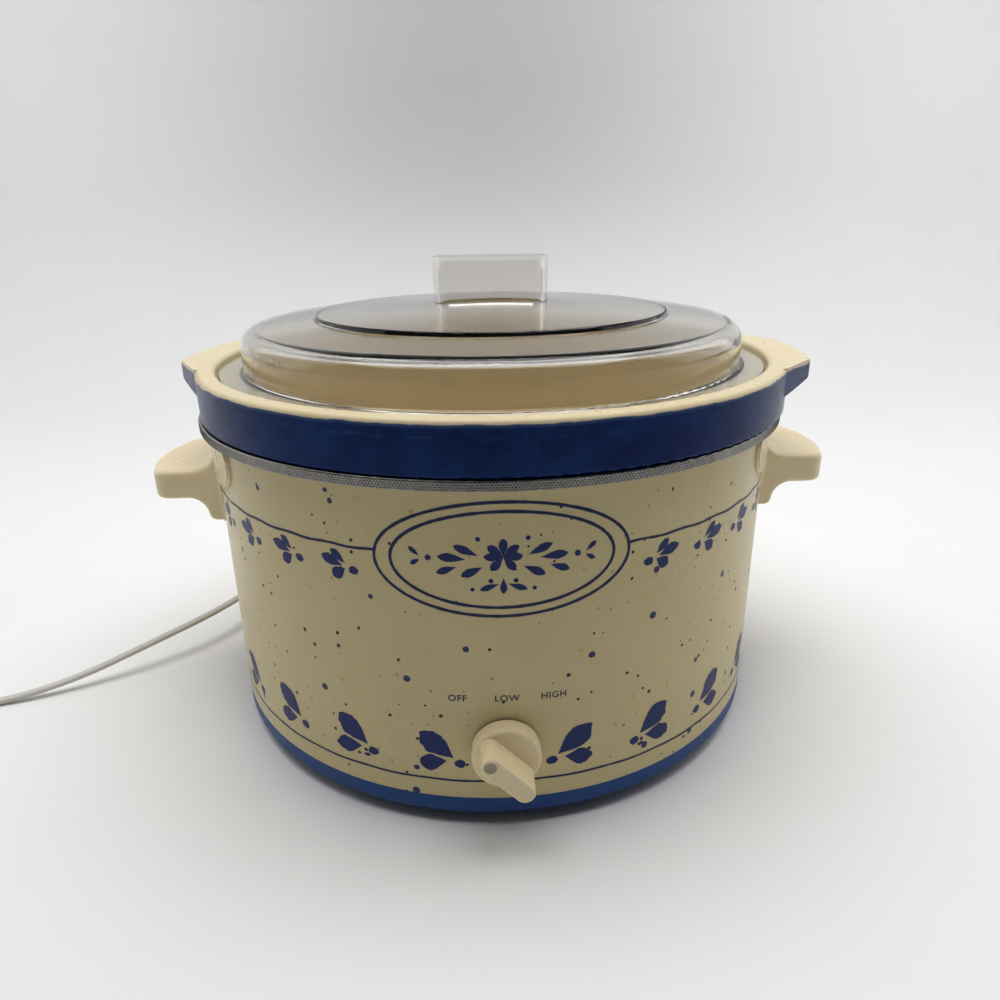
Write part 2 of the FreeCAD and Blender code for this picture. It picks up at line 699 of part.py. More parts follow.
strap_hole = along_x(cylinder("strap_hole", "strap_screw_radius + fit_gap", f"2 * {strap_gap} + 8"),
                     f"-{strap_gap} - 4", strap_screw_back, strap_level)
band_strap = cut("band_strap", strap_blank, strap_hole)
strap_screw = fuse("strap_screw", [
    along_x(cylinder("strap_screw_head", "strap_screw_radius + 0.6", "1.6"),
            f"-{strap_gap} - strap_ear_thick - 1.7", strap_screw_back, strap_level),
    along_x(cylinder("strap_screw_shank", "strap_screw_radius",
                     f"2 * {strap_gap} + 2 * strap_ear_thick + 4.4"),
            f"-{strap_gap} - strap_ear_thick - 0.2", strap_screw_back, strap_level),
])
strap_nut = cut("strap_nut",
                along_x(hexagon("strap_nut_block", "strap_screw_radius + 0.75", "1.8", "0"),
                        f"{strap_gap} + strap_ear_thick + 0.2", strap_screw_back, strap_level),
                along_x(cylinder("strap_nut_thread", "strap_screw_radius + 0.05", "4"),
                        f"{strap_gap} + strap_ear_thick - 1", strap_screw_back, strap_level))

blanket_inner = f"({strap_outer} + 0.3)"
insulation_blanket = open_at_back("insulation_blanket", f"({blanket_inner} + blanket_thick)", blanket_inner,
                                  "blanket_height", "blanket_bottom", "blanket_span")

terminal_turns = {"common": -14, "low": 9, "high": 17}
terminal_inner = f"({heater_outer} + fit_gap)"
terminal_blank = box("heater_terminal", "terminal_width", "terminal_thick", "terminal_length",
                     ("-terminal_width / 2", terminal_inner, "heater_bottom"))
heater_terminals = copies("heater_terminals", terminal_blank, [
    Placement(Vector(), Rotation(Vector(0, 0, 1), turn)) for turn in terminal_turns.values()])

# ---------------------------------------------------------------- rotary switch and knob

# The switch, its shaft and the knob are drawn upright on the Z axis, then turned to face -Y.
switch_front = "(-(body_radius - switch_setback))"


def face_front(piece, turn="0"):
    """Turns an upright piece so that it points forward from the switch's front."""
    piece.Placement.Rotation = Rotation(Vector(1, 0, 0), 90) * Rotation(Vector(0, 0, 1), size(turn))
    bind(piece, "Placement.Base.y", switch_front)
    bind(piece, "Placement.Base.z", "knob_height")
    return piece


switch_body = new_body("switch_body")
half_switch = "switch_size / 2"
extrude(switch_body, "Pad",
        outline_sketch(switch_body, "XY_Plane", "switch_square", [
            (f"-{half_switch}", f"-{half_switch}", "2"), (half_switch, f"-{half_switch}", "2"),
            (half_switch, half_switch, "2"), (f"-{half_switch}", half_switch, "2"),
        ]),
        "switch_depth", backwards=True)
extrude(switch_body, "Pad",
        circles(switch_body, "XY_Plane", "switch_neck", [("0", "0", "bushing_radius")]), "bushing_length")
extrude(switch_body, "Pocket",
        circles(switch_body, "XY_Plane", "shaft_bore", [("0", "0", "shaft_radius + shaft_run")],
                "bushing_length + 1"),
        "bushing_length + 1 + shaft_in + 1")
face_front(switch_body)

tab = box("switch_tab", "tab_width", "tab_thick", "tab_length",
          ("-tab_width / 2", "-tab_thick / 2", "-switch_depth - tab_length"))
tab_spots = {"live": (0, -8.5), "high": (-5, 4), "low": (6, 4)}
switch_terminals = copies("switch_terminals", tab, [
    Placement(Vector(0, size(switch_front), size("knob_height")), Rotation(Vector(1, 0, 0), 90)) *
    Placement(Vector(across, up, 0), Rotation()) for across, up in tab_spots.values()])

switch_washer = face_front(tube("switch_washer", "switch_nut_radius + 0.6", "bushing_radius + fit_gap",
                                "washer_thick", "(switch_setback + fit_gap)"))
nut_start = "(switch_setback + 2 * fit_gap + washer_thick)"
switch_nut = face_front(cut("switch_nut",
                            hexagon("switch_nut_block", "switch_nut_radius", "switch_nut_height", nut_start),
                            cylinder("switch_nut_thread", "bushing_radius + 0.05", "switch_nut_height + 2",
                                     f"{nut_start} - 1")))

shaft_round = cylinder("shaft_round", "shaft_radius", "shaft_in + shaft_out", "-shaft_in")
knob_back = "(switch_setback + knob_gap)"
knob_face = f"({knob_back} + knob_skirt)"
flat_start = f"({knob_back} + knob_recess - fit_gap)"
shaft_cut = box("shaft_cut", "2 * shaft_radius", "shaft_radius", "shaft_out",
                ("-shaft_radius", "shaft_flat", flat_start))
switch_shaft = face_front(cut("switch_shaft", shaft_round, shaft_cut), "off_angle")

control_knob = new_body("control_knob")
extrude(control_knob, "Pad",
        circles(control_knob, "XY_Plane", "knob_disc", [("0", "0", "knob_radius")], knob_back), "knob_skirt")
round_edges(control_knob, "knob_rim", "knob_edge",
            lambda edge: abs(edge.CenterOfMass.z - size(knob_face)) < 1e-6)
half_grip, half_bar = "grip_length / 2", "grip_width / 2"
extrude(control_knob, "Pad",
        outline_sketch(control_knob, "XY_Plane", "knob_grip", [
            (f"-{half_bar}", f"-{half_grip}", "grip_width / 2.05"),
            (half_bar, f"-{half_grip}", "grip_width / 2.05"),
            (half_bar, half_grip, "grip_width / 2.05"),
            (f"-{half_bar}", half_grip, "grip_width / 2.05"),
        ], f"{knob_face} - 1"),
        "grip_height + 1")
round_edges(control_knob, "knob_grip_rim", "grip_edge",
            lambda edge: abs(edge.CenterOfMass.z - size(f"{knob_face} + grip_height")) < 1e-6)
extrude(control_knob, "Pocket",
        circles(control_knob, "XY_Plane", "knob_hollow", [("0", "0", "knob_recess_radius")],
                f"{knob_back} + knob_recess"),
        "knob_recess + 1")
bore_half = "(shaft_radius + shaft_run)"
extrude(control_knob, "Pocket",
        outline_sketch(control_knob, "XY_Plane", "knob_bore", [
            (f"-{bore_half}", f"-{bore_half}", f"{bore_half} / 1.02"),
            (bore_half, f"-{bore_half}", f"{bore_half} / 1.02"),
            (bore_half, "shaft_flat + clip_thick + 2 * fit_gap"),
            (f"-{bore_half}", "shaft_flat + clip_thick + 2 * fit_gap"),
        ], "shaft_out + 1"),
        "shaft_out + 1")
face_front(control_knob, "off_angle")
knob_clip = new_body("knob_clip")
clip_low = "shaft_flat + fit_gap"
extrude(knob_clip, "Pad",
        outline_sketch(knob_clip, "XY_Plane", "clip_strip", [
            ("-clip_width / 2", clip_low), ("clip_width / 2", clip_low),
            ("clip_width / 2", f"{clip_low} + clip_thick"), ("-clip_width / 2", f"{clip_low} + clip_thick"),
        ], "shaft_out - clip_length - 0.5"),
        "clip_length")
face_front(knob_clip, "off_angle")

# ---------------------------------------------------------------- side handles

# The grip and its bracket are turned round the pot's axis and trimmed to their width, and only
# then hollowed to fit the wrap, so that their rounded edges run out into the wall.
handle_core_in = "(body_radius - 30)"
handle_inner = "(body_radius + fit_gap)"
handle_face = "(body_radius + fit_gap + handle_root)"
handle_low = "(handle_top - handle_thick)"
handle_far = "(handle_corner_x + handle_bow)"
handle_turned = revolve("handle_turned", [
    (handle_core_in, "handle_plate_bottom"),
    ("body_radius + handle_bracket", "handle_plate_bottom", "handle_under_edge + 1.5"),
    ("body_radius + handle_bracket", handle_low, "handle_lower_sweep"),
    (f"{handle_far} + 12", handle_low),
    (f"{handle_far} + 12", "handle_top"),
    (handle_face, "handle_top", "handle_upper_sweep"),
    (handle_face, "handle_plate_top"),
    (handle_core_in, "handle_plate_top"),
])
handle_turned.Placement.Rotation = Rotation(Vector(0, 0, 1), 180)
handle_plan = new_body("handle_plan")
extrude(handle_plan, "Pad",
        outline_sketch(handle_plan, "XY_Plane", "handle_outline", [
            (f"{handle_core_in} - 10", "-handle_half"),
            ("handle_corner_x", "-handle_half", "handle_corner"),
            (handle_far, "-handle_half * 0.35", "handle_half * 1.5"),
            (handle_far, "handle_half * 0.35", "handle_half * 1.5"),
            ("handle_corner_x", "handle_half", "handle_corner"),
            (f"{handle_core_in} - 10", "handle_half"),
        ], "handle_plate_bottom - 5"),
        "handle_plate_top - handle_plate_bottom + 10")
handle_core = common("handle_core", handle_turned, handle_plan)
doc.recompute()
handle_core_round = doc.addObject("Part::Fillet", "handle_core_round")
handle_core_round.Base = handle_core


def grip_rows(level, radius):
    """Fillet rows for the grip's outline at one level: (edge, start radius, end radius)."""
    rows = []
    for place, edge in enumerate(handle_core.Shape.Edges, start=1):
        middle = edge.CenterOfMass
        flat = abs(edge.BoundBox.ZMax - size(level)) + abs(edge.BoundBox.ZMin - size(level)) < 0.01
        across_wall = edge.BoundBox.YLength > size("handle_half")
        if flat and middle.x > size("body_radius") and not across_wall:
            rows.append((place, size(radius), size(radius)))
    return rows


handle_core_round.Edges = grip_rows("handle_top", "handle_edge") + grip_rows(handle_low, "handle_under_edge")

# The plate follows the wrap, wide under the trim ring and narrowing to the bracket.
handle_plate_ring = tube("handle_plate_ring", handle_face, f"{handle_core_in} + 2",
                         "(handle_plate_top - handle_plate_bottom)", "handle_plate_bottom")
handle_wing = new_body("handle_wing")
extrude(handle_wing, "Pad",
        outline_sketch(handle_wing, "YZ_Plane", "wing_outline", [
            ("-wing_half", "handle_plate_top", "5"),
            ("-wing_half", "handle_plate_top - wing_drop", "10"),
            ("-wing_shoulder", "handle_top + 3", "10"),
            ("-handle_half - 2", "handle_plate_bottom"),
            ("handle_half + 2", "handle_plate_bottom"),
            ("wing_shoulder", "handle_top + 3", "10"),
            ("wing_half", "handle_plate_top - wing_drop", "10"),
            ("wing_half", "handle_plate_top", "5"),
        ], "wing_half"),
        "body_radius")
handle_plate = common("handle_plate", handle_plate_ring, handle_wing)
handle_block = fuse("handle_block", [handle_core_round, handle_plate])
handle_bore = doc.addObject("Part::Cylinder", "handle_bore")
bind(handle_bore, "Radius", handle_inner)
bind(handle_bore, "Height", "handle_plate_top - handle_plate_bottom + 2")
bind(handle_bore, "Placement.Base.z", "handle_plate_bottom - 1")
handle_fitted = cut("handle_fitted", handle_block, handle_bore)
screw_depth = "(handle_screw_length - shell_wall + 1)"
handle_screw_holes = [
    along_x(cylinder(f"handle_screw_hole_{place}", "handle_screw_radius + fit_gap", f"{screw_depth} + 20"),
            "body_radius - 20", f"{side}handle_screw_spread / 2", handle_screw_level)
    for place, side in enumerate(("-", ""), start=1)
]
right_handle = cut("right_handle", handle_fitted, fuse("handle_screw_pair", handle_screw_holes))
left_handle = doc.addObject("Part::Mirroring", "left_handle")
left_handle.Source = right_handle
left_handle.Normal = Vector(1, 0, 0)

# The screws come from inside the wrap; the wall curves away from its flat washers.
washer_edge = "(handle_screw_spread / 2 + handle_head_radius + 1.1)"
screw_seat = f"(sqrt((body_radius - shell_wall) ^ 2 - {washer_edge} ^ 2) - fit_gap)"
handle_screw = fuse("handle_screw", [
    along_x(cylinder("handle_screw_head", "handle_head_radius", "handle_head_height"),
            f"{screw_seat} - washer_thick - fit_gap - handle_head_height", "0", handle_screw_level),
    along_x(cylinder("handle_screw_shank", "handle_screw_radius", "handle_screw_length"),
            f"{screw_seat} - washer_thick - fit_gap", "0", handle_screw_level),
])
handle_washer = cut(
    "handle_washer",
    along_x(cylinder("handle_washer_disc", "handle_head_radius + 1", "washer_thick"),
            f"{screw_seat} - washer_thick", "0", handle_screw_level),
    along_x(cylinder("handle_washer_hole", "handle_screw_radius + fit_gap", "washer_thick + 2"),
            f"{screw_seat} - washer_thick - 1", "0", handle_screw_level))
handle_spots = [
    Placement(Vector(), Rotation(Vector(0, 0, 1), turn)) * Placement(Vector(0, side * half, 0), Rotation())
    for half in [size("handle_screw_spread") / 2] for turn in (0, 180) for side in (-1, 1)
]
handle_screws = copies("handle_screws", handle_screw, handle_spots)
handle_washers = copies("handle_washers", handle_washer, handle_spots)

# ---------------------------------------------------------------- crock and lid

crock_bowl = revolve("crock_bowl", [
    ("0", crock_base),
    ("crock_bottom_radius", crock_base, "crock_corner"),
    ("crock_top_radius", band_bottom, "0.6"),
    ("crock_radius", band_bottom, "1.2"),
    ("crock_radius", rim_top, "2.2"),
    ("rim_radius", rim_top, "2"),
    ("rim_radius - 0.4", seat, "1.2"),
    ("crock_top_radius - crock_wall", seat, "2.5"),
    ("crock_bottom_radius - crock_wall", f"{crock_base} + crock_floor", "crock_corner"),
    ("0", f"{crock_base} + crock_floor"),
])
ear_ring = revolve("ear_ring", [
    ("rim_radius + 4", f"{rim_top} - ear_root_thick - 2"),
    ("crock_radius", f"{rim_top} - ear_root_thick"),
    ("ear_radius", f"{rim_top} - ear_thick", "1.5"),
    ("ear_radius", rim_top, "1.2"),
    ("rim_radius + 4", rim_top),
])
ear_plan = new_body("ear_plan")
ear_root_x = "sqrt(crock_radius ^ 2 - ear_root_half ^ 2)"
ear_tip_x = "sqrt(ear_radius ^ 2 - ear_tip_half ^ 2)"
extrude(ear_plan, "Pad",
        outline_sketch(ear_plan, "XY_Plane", "ear_outline", [
            (f"{end}({across})", f"{side}({half})")
            for end, side, order in (("", "-", 1), ("", "", -1), ("-", "", 1), ("-", "-", -1))
            for across, half in [
                (ear_root_x, "ear_root_half"),
                (f"2 * {ear_tip_x} - {ear_root_x}", "2 * ear_tip_half - ear_root_half"),
            ][::order]
        ], band_bottom),
        "band_height + 5")
crock_ears = common("crock_ears", ear_ring, ear_plan)
stoneware_crock = fuse("stoneware_crock", [crock_bowl, crock_ears])
stoneware_crock.Placement.Rotation = Rotation(Vector(0, 0, 1), size("crock_turn"))
bind(stoneware_crock, "Placement.Base.x", "crock_shift")

lid_inner = "(lid_wall_radius - lid_wall)"
shoulder_top = f"({lid_under} + lid_shoulder_height)"
step_foot = f"({shoulder_top} + lid_slope)"
step_top = f"({step_foot} + lid_step)"
lid_dome = revolve("lid_dome", [
    ("0", lid_top),
    ("lid_step_radius - 1", step_top, "1"),
    ("lid_step_radius", step_foot),
    ("lid_wall_radius", shoulder_top, "lid_shoulder"),
    ("lid_wall_radius", f"{lid_under} + lid_flange", "2"),
    ("rim_radius - 0.4 - lid_side_gap", f"{lid_under} + lid_flange", "0.8"),
    ("rim_radius - 0.4 - lid_side_gap", lid_under),
    (lid_inner, lid_under),
    (lid_inner, f"{shoulder_top} - lid_wall", "lid_shoulder - lid_wall"),
    ("lid_step_radius", f"{step_foot} - lid_wall"),
    ("lid_step_radius - 3", f"{step_top} - lid_wall"),
    ("0", f"{lid_top} - lid_wall"),
])


def stadium(name, half_length, depth, bottom, height):
    """An upright prism with rounded ends, across the front of the pot."""
    body = new_body(name)
    extrude(body, "Pad",
            outline_sketch(body, "XY_Plane", name + "_outline", [
                (f"-{half_length}", f"-{depth} / 2", f"{depth} / 2.02"),
                (half_length, f"-{depth} / 2", f"{depth} / 2.02"),
                (half_length, f"{depth} / 2", f"{depth} / 2.02"),
                (f"-{half_length}", f"{depth} / 2", f"{depth} / 2.02"),
            ], bottom),
            height)
    return body


grip_top = f"({lid_top} + lid_grip_height)"
lid_grip = stadium("lid_grip", "lid_grip_half", "lid_grip_depth", f"{lid_top} - 2",
                   "lid_grip_height + 2")
lid_grip_hollow = stadium("lid_grip_hollow", "(lid_grip_half - lid_grip_wall)",
                          "(lid_grip_depth - 2 * lid_grip_wall)", f"{lid_top} - lid_wall - 2",
                          "lid_grip_height + lid_wall + 2 - lid_grip_wall")
lid = cut("lid", fuse("lid_blank", [lid_dome, lid_grip]), lid_grip_hollow)
bind(lid, "Placement.Base.x", "crock_shift")

# ---------------------------------------------------------------- strain relief, cord, coil and plug


def along_y(piece, start, level):
    """Turns an upright piece so that it runs along +Y from a point over the Y axis."""
    piece.Placement.Rotation = Rotation(Vector(1, 0, 0), -90)
    bind(piece, "Placement.Base.x", "0")
    bind(piece, "Placement.Base.y", start)
    bind(piece, "Placement.Base.z", level)
    return piece


relief_seat = "(sqrt((body_radius - shell_wall) ^ 2 - relief_flange ^ 2) - fit_gap)"
relief_cone = doc.addObject("Part::Cone", "relief_cone")
bind(relief_cone, "Radius1", "relief_radius")
bind(relief_cone, "Radius2", "relief_tip_radius")
bind(relief_cone, "Height", "relief_length")
strain_relief = fuse("strain_relief", [
    along_y(cylinder("relief_inner_flange", "relief_flange", "relief_inside"),
            f"{relief_seat} - relief_inside", "cord_exit"),
    along_y(cylinder("relief_neck", "relief_radius", f"body_radius + 2 * fit_gap - {relief_seat}"),
            relief_seat, "cord_exit"),
    along_y(cylinder("relief_collar", "relief_collar_radius", "relief_collar_thick"),
            "body_radius + 2 * fit_gap", "cord_exit"),
    along_y(relief_cone, "body_radius + 2 * fit_gap", "cord_exit"),
])
splice_start = f"({relief_seat} - relief_inside - fit_gap - splice_length)"
splice = along_y(cylinder("splice", "splice_radius", "splice_length"), splice_start, "cord_exit")
splice_half = size("splice_half")
cord_splices = copies("cord_splices", splice,
                      [Placement(Vector(side * splice_half, 0, 0), Rotation()) for side in (-1, 1)])

# Insulated leads under the liner, hand-laid clear of the spacer tube and the liner's corner.
lead_level, lead_start = size("cord_exit"), size(f"{splice_start} - fit_gap")
tab_end = size(f"{switch_front} + switch_depth + tab_length + fit_gap")
terminal_radius = size(f"{terminal_inner} + terminal_thick / 2")
terminal_end = size("heater_bottom - fit_gap")


def under_terminal(turn, drop):
    """A point straight under a heater terminal."""
    angle = math.radians(turn)
    return Vector(-terminal_radius * math.sin(angle), terminal_radius * math.cos(angle), terminal_end - drop)


def switch_tab(name):
    across, up = tab_spots[name]
    return Vector(across, tab_end, size("knob_height") + up)


lead_routes = {
    "lead_live": [
        Vector(-splice_half, lead_start, lead_level), Vector(-splice_half, 105, lead_level),
        Vector(-9, 82, 27), Vector(-16, 45, 25), Vector(-17, 0, 24), Vector(-12, -50, 26),
        Vector(0, -88, 30.5), switch_tab("live"),
    ],
    "lead_neutral": [
        Vector(splice_half, lead_start, lead_level), Vector(splice_half, 109, lead_level), Vector(10, 97, 35),
        Vector(22, 99, 43), Vector(30, 115, 50), under_terminal(terminal_turns["common"], 8),
        under_terminal(terminal_turns["common"], 0),
    ],
    "lead_high": [
        switch_tab("high"), Vector(-5, -98, 43), Vector(4, -76, 39), Vector(13, -42, 35.5),
        Vector(15, 0, 34), Vector(8, 45, 34.5), Vector(-10, 82, 38), Vector(-27, 106, 45),
        Vector(-36.5, 115, 51.5),
        under_terminal(terminal_turns["high"], 8), under_terminal(terminal_turns["high"], 0),
    ],
    "lead_low": [
        switch_tab("low"), Vector(6, -98, 43), Vector(14, -76, 39), Vector(21, -42, 35.5),
        Vector(23, 0, 34), Vector(17, 48, 34.5), Vector(2, 86, 38), Vector(-12, 109, 45),
        Vector(-19.5, 118.5, 51.5),
        under_terminal(terminal_turns["low"], 8), under_terminal(terminal_turns["low"], 0),
    ],
}
for name, route in lead_routes.items():
    round_lead(name, route, "lead_radius")

# The free cord: out of the relief, down behind the pot, round its left side and off to the coil.
coil_centre = Vector(size("coil_x"), size("coil_y"), 0)
cord_half = size("cord_thick / 2")
cord_route = [
    Vector(0, size("body_radius + 2 * fit_gap + relief_length"), size("cord_exit")),
    Vector(0, 178, 30),
    Vector(-10, 199, 25),
    Vector(-34, 212, 16),
    Vector(-68, 208, 9),
    Vector(-102, 184, 3),
    Vector(-127, 148, 3),
    Vector(-142, 106, 9),
    Vector(-150, 63, 16),
    Vector(-164, 25, 18.5),
    Vector(-194, -4, 14.5),
    Vector(-228, -25, 6),
    Vector(-264, -38, cord_half),
    coil_centre + Vector(18.5, size("coil_radius"), cord_half),
]


def flat_cord(name, points):
    """A flat cord of rounded section that keeps its wide side level along a route."""
    path, radii = rounded_path(points)
    ahead = (points[1] - points[0]).normalize()
    side = Vector(0, 0, 1).cross(ahead).normalize()
    rise = ahead.cross(side).normalize()
    half_thick = size("cord_thick / 2")
    half_flat = size("cord_width / 2") - half_thick
    start = points[0]
    right, left = side * half_flat, side * -half_flat
    top, bottom = rise * half_thick, rise * -half_thick
    section = Part.Wire([
        Part.LineSegment(start + left + top, start + right + top).toShape(),
        Part.Arc(start + right + top, start + right + side * half_thick, start + right + bottom).toShape(),
        Part.LineSegment(start + right + bottom, start + left + bottom).toShape(),
        Part.Arc(start + left + bottom, start + left - side * half_thick, start + left + top).toShape(),
    ])
    sweep = Part.BRepOffsetAPI.MakePipeShell(path)
    sweep.setBiNormalMode(Vector(0, 0, 1))
    sweep.add(section)
    sweep.build()
    sweep.makeSolid()
    cord = doc.addObject("Part::Feature", name)
    cord.Shape = sweep.shape()
    cord.Label = name
    flat_area = half_flat * 2 * half_thick * 2 + math.pi * half_thick ** 2
    print(name, "length", round(path.Length, 1), "volume against section times length",
          round(cord.Shape.Volume / (flat_area * path.Length), 4))
    print(name, "bend radii", [round(radius, 1) for radius in radii])
    return cord


power_cord = flat_cord("power_cord", cord_route)


def at_coil(piece, across, back):
    """Moves an upright piece to the coil."""
    bind(piece, "Placement.Base.x", f"coil_x + {across}")
    bind(piece, "Placement.Base.y", f"coil_y + {back}")
    return piece


coil_bottom = "(tie_thick + fit_gap)"
coil_top = f"({coil_bottom} + coil_height)"
cord_coil = at_coil(tube("cord_coil", "coil_radius + coil_width / 2", "coil_radius - coil_width / 2",
                         "coil_height", coil_bottom), "0", "0")
tie_half = "(coil_width / 2 + 4 * fit_gap)"
tie_hole = box("tie_hole", f"2 * {tie_half}", "tie_width + 2", "coil_height + 2 * fit_gap",
               (f"-{tie_half}", "-tie_width / 2 - 1", "tie_thick"))
tie_block = box("tie_block", f"2 * ({tie_half} + tie_thick)", "tie_width",
                "coil_height + 2 * fit_gap + 2 * tie_thick",
                (f"-{tie_half} - tie_thick", "-tie_width / 2", "0"))
cord_tie = at_coil(cut("cord_tie", tie_block, tie_hole), "-coil_radius", "0")

plug_start = "-9"
plug_level = f"({coil_top} + plug_thick / 2)"
plug_body = new_body("plug_body")
half_plug, half_slab = "plug_width / 2", "plug_thick / 2"
extrude(plug_body, "Pad",
        outline_sketch(plug_body, "YZ_Plane", "plug_end", [
            (f"-{half_plug}", f"-{half_slab}", "plug_corner"),
            (half_plug, f"-{half_slab}", "plug_corner"),
            (half_plug, half_slab, "plug_corner"),
            (f"-{half_plug}", half_slab, "plug_corner"),
        ]),
        "plug_length")
for axis, formula in (("x", f"coil_x + {plug_start}"), ("y", "coil_y - coil_radius"), ("z", plug_level)):
    bind(plug_body, f"Placement.Base.{axis}", formula)
blade = box("plug_blade", "blade_length", "blade_thick", "blade_width",
            ("0", "-blade_thick / 2", "-blade_width / 2"))
plug_blades = copies("plug_blades", blade, [
    Placement(Vector(size(f"coil_x + {plug_start} + plug_length"),
                     size("coil_y - coil_radius") + side * size("blade_spread / 2"), size(plug_level)),
              Rotation())
    for side in (-1, 1)])

# ---------------------------------------------------------------- check and write

NODES = [
    "outer_shell", "base_ring", "feet", "bottom_cover", "cover_screws", "trim_ring", "inner_pan",
    "centre_stud", "spacer_tube", "centre_washer", "centre_nut", "heating_band", "heater_terminals",
    "band_strap", "strap_screw", "strap_nut", "insulation_blanket", "switch_body", "switch_terminals",
    "switch_washer", "switch_nut", "lead_live", "lead_neutral", "lead_low", "lead_high", "cord_splices",
    "left_handle", "right_handle", "handle_screws", "handle_washers", "strain_relief", "switch_shaft",
    "control_knob", "knob_clip", "stoneware_crock", "lid", "power_cord", "cord_coil", "cord_tie",
    "plug_body", "plug_blades",
]
doc.recompute()
for item in doc.Objects:
    if "Invalid" in item.State or "Error" in item.State:
        raise RuntimeError(f"{item.Name} failed: {item.State}")
for name in NODES:
    shape = doc.getObject(name).Shape
    if shape.isNull() or not shape.isValid() or not shape.Solids:
        raise RuntimeError(f"{name} is not a sound solid")
for name in NODES:
    doc.getObject(name).Shape.exportStep(f"parts/{name}.step")
print(len(NODES), "sub-parts written")
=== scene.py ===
import math
import random

import bmesh
import bpy
from mathutils import Matrix, Vector


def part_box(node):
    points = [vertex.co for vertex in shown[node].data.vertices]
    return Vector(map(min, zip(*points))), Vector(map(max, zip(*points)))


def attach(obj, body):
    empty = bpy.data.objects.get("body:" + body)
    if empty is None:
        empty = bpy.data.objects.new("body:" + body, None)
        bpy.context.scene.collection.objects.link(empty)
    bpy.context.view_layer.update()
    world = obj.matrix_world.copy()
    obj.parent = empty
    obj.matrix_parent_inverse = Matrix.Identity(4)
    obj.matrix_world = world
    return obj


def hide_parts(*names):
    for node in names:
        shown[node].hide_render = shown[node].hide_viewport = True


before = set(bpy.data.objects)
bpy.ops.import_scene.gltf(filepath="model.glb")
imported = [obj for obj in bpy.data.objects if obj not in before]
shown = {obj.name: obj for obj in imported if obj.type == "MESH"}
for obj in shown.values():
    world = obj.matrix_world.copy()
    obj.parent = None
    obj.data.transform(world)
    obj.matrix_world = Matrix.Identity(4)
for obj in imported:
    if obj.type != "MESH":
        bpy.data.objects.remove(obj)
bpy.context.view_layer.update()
MM = 0.001

# ---------------------------------------------------------------- studio
# A pale table that curves up into a pale wall, as in a small white light tent.
# The light comes through the tent from above and from both sides.
eye = Vector((-9.9, -378.8, 236.7)) * MM
ahead = Vector((0.0347, 0.9346, -0.354)).normalized()
roll = -0.0154
level_right = ahead.cross(Vector((0, 0, 1))).normalized()
level_up = level_right.cross(ahead)
right = level_right * math.cos(roll) + level_up * math.sin(roll)
up = level_up * math.cos(roll) - level_right * math.sin(roll)
camera_data = bpy.data.cameras.new("camera")
camera_data.lens = 27
camera_data.sensor_width = 36
camera = bpy.data.objects.new("camera", camera_data)
bpy.context.scene.collection.objects.link(camera)
turn = Matrix((right, up, -ahead)).transposed().to_4x4()
camera.matrix_world = Matrix.Translation(eye) @ turn
bpy.context.scene.camera = camera
bpy.context.scene.view_settings.view_transform = "Standard"


def shader_of(finish):
    return finish.node_tree.nodes["Principled BSDF"]


def new_finish(name, **values):
    """A material with one Principled shader, whose even values stand on its own sockets."""
    finish = bpy.data.materials.new(name)
    finish.use_nodes = True
    for socket, value in values.items():
        shader_of(finish).inputs[socket.replace("_", " ")].default_value = value
    return finish


def add(finish, kind, settings=None, **inputs):
    """A new node in a finish, with its settings and its unlinked inputs."""
    node = finish.node_tree.nodes.new("ShaderNode" + kind)
    for key, value in (settings or {}).items():
        setattr(node, key, value)
    for socket, value in inputs.items():
        node.inputs[socket.replace("_", " ")].default_value = value
    return node


def wire(finish, *pairs):
    """Links sockets, given as (node, output, node, input)."""
    for source, output, target, socket in pairs:
        finish.node_tree.links.new(source.outputs[output], target.inputs[socket])


def new_piece(name, mesh, finish):
    """An object in the scene for a mesh, in one finish."""
    piece = bpy.data.objects.new(name, mesh)
    bpy.context.scene.collection.objects.link(piece)
    mesh.materials.clear()
    mesh.materials.append(finish)
    return piece


def grain(finish, pale, dark, size, rough, bump=0.0, bump_size=1.0, stretch=(1, 1, 1)):
    """Uneven colour, gloss and surface on a finish; sizes are in mm. Gives the node of the colour."""
    shader = shader_of(finish)
    place = add(finish, "TexCoord")
    spread = add(finish, "Mapping", Scale=stretch)
    cloud = add(finish, "TexNoise", Scale=1 / (size * MM), Detail=5, Roughness=0.6)
    tone = add(finish, "Mix", {"data_type": "RGBA"})
    tone.inputs[6].default_value = (*pale, 1)
    tone.inputs[7].default_value = (*dark, 1)
    smear = add(finish, "TexNoise", Scale=0.4 / (size * MM), Detail=6, Roughness=0.7)
    gloss = add(finish, "MapRange", From_Min=0.3, From_Max=0.7, To_Min=rough[0], To_Max=rough[1])
    wire(finish, (place, "Object", spread, "Vector"), (spread, "Vector", cloud, "Vector"),
         (spread, "Vector", smear, "Vector"), (cloud, "Fac", tone, "Factor"), (tone, 2, shader, "Base Color"),
         (smear, "Fac", gloss, "Value"), (gloss, "Result", shader, "Roughness"))
    if bump:
        fine = add(finish, "TexNoise", Scale=1 / (bump_size * MM), Detail=3)
        relief = add(finish, "Bump", Strength=1, Distance=bump * MM)
        wire(finish, (spread, "Vector", fine, "Vector"), (fine, "Fac", relief, "Height"),
             (relief, "Normal", shader, "Normal"))
    return tone


tent_white = new_finish("tent_white", Specular_IOR_Level=0.2)
tent_tone = grain(tent_white, (0.88, 0.88, 0.88), (0.85, 0.85, 0.85), 90, (0.6, 0.75))
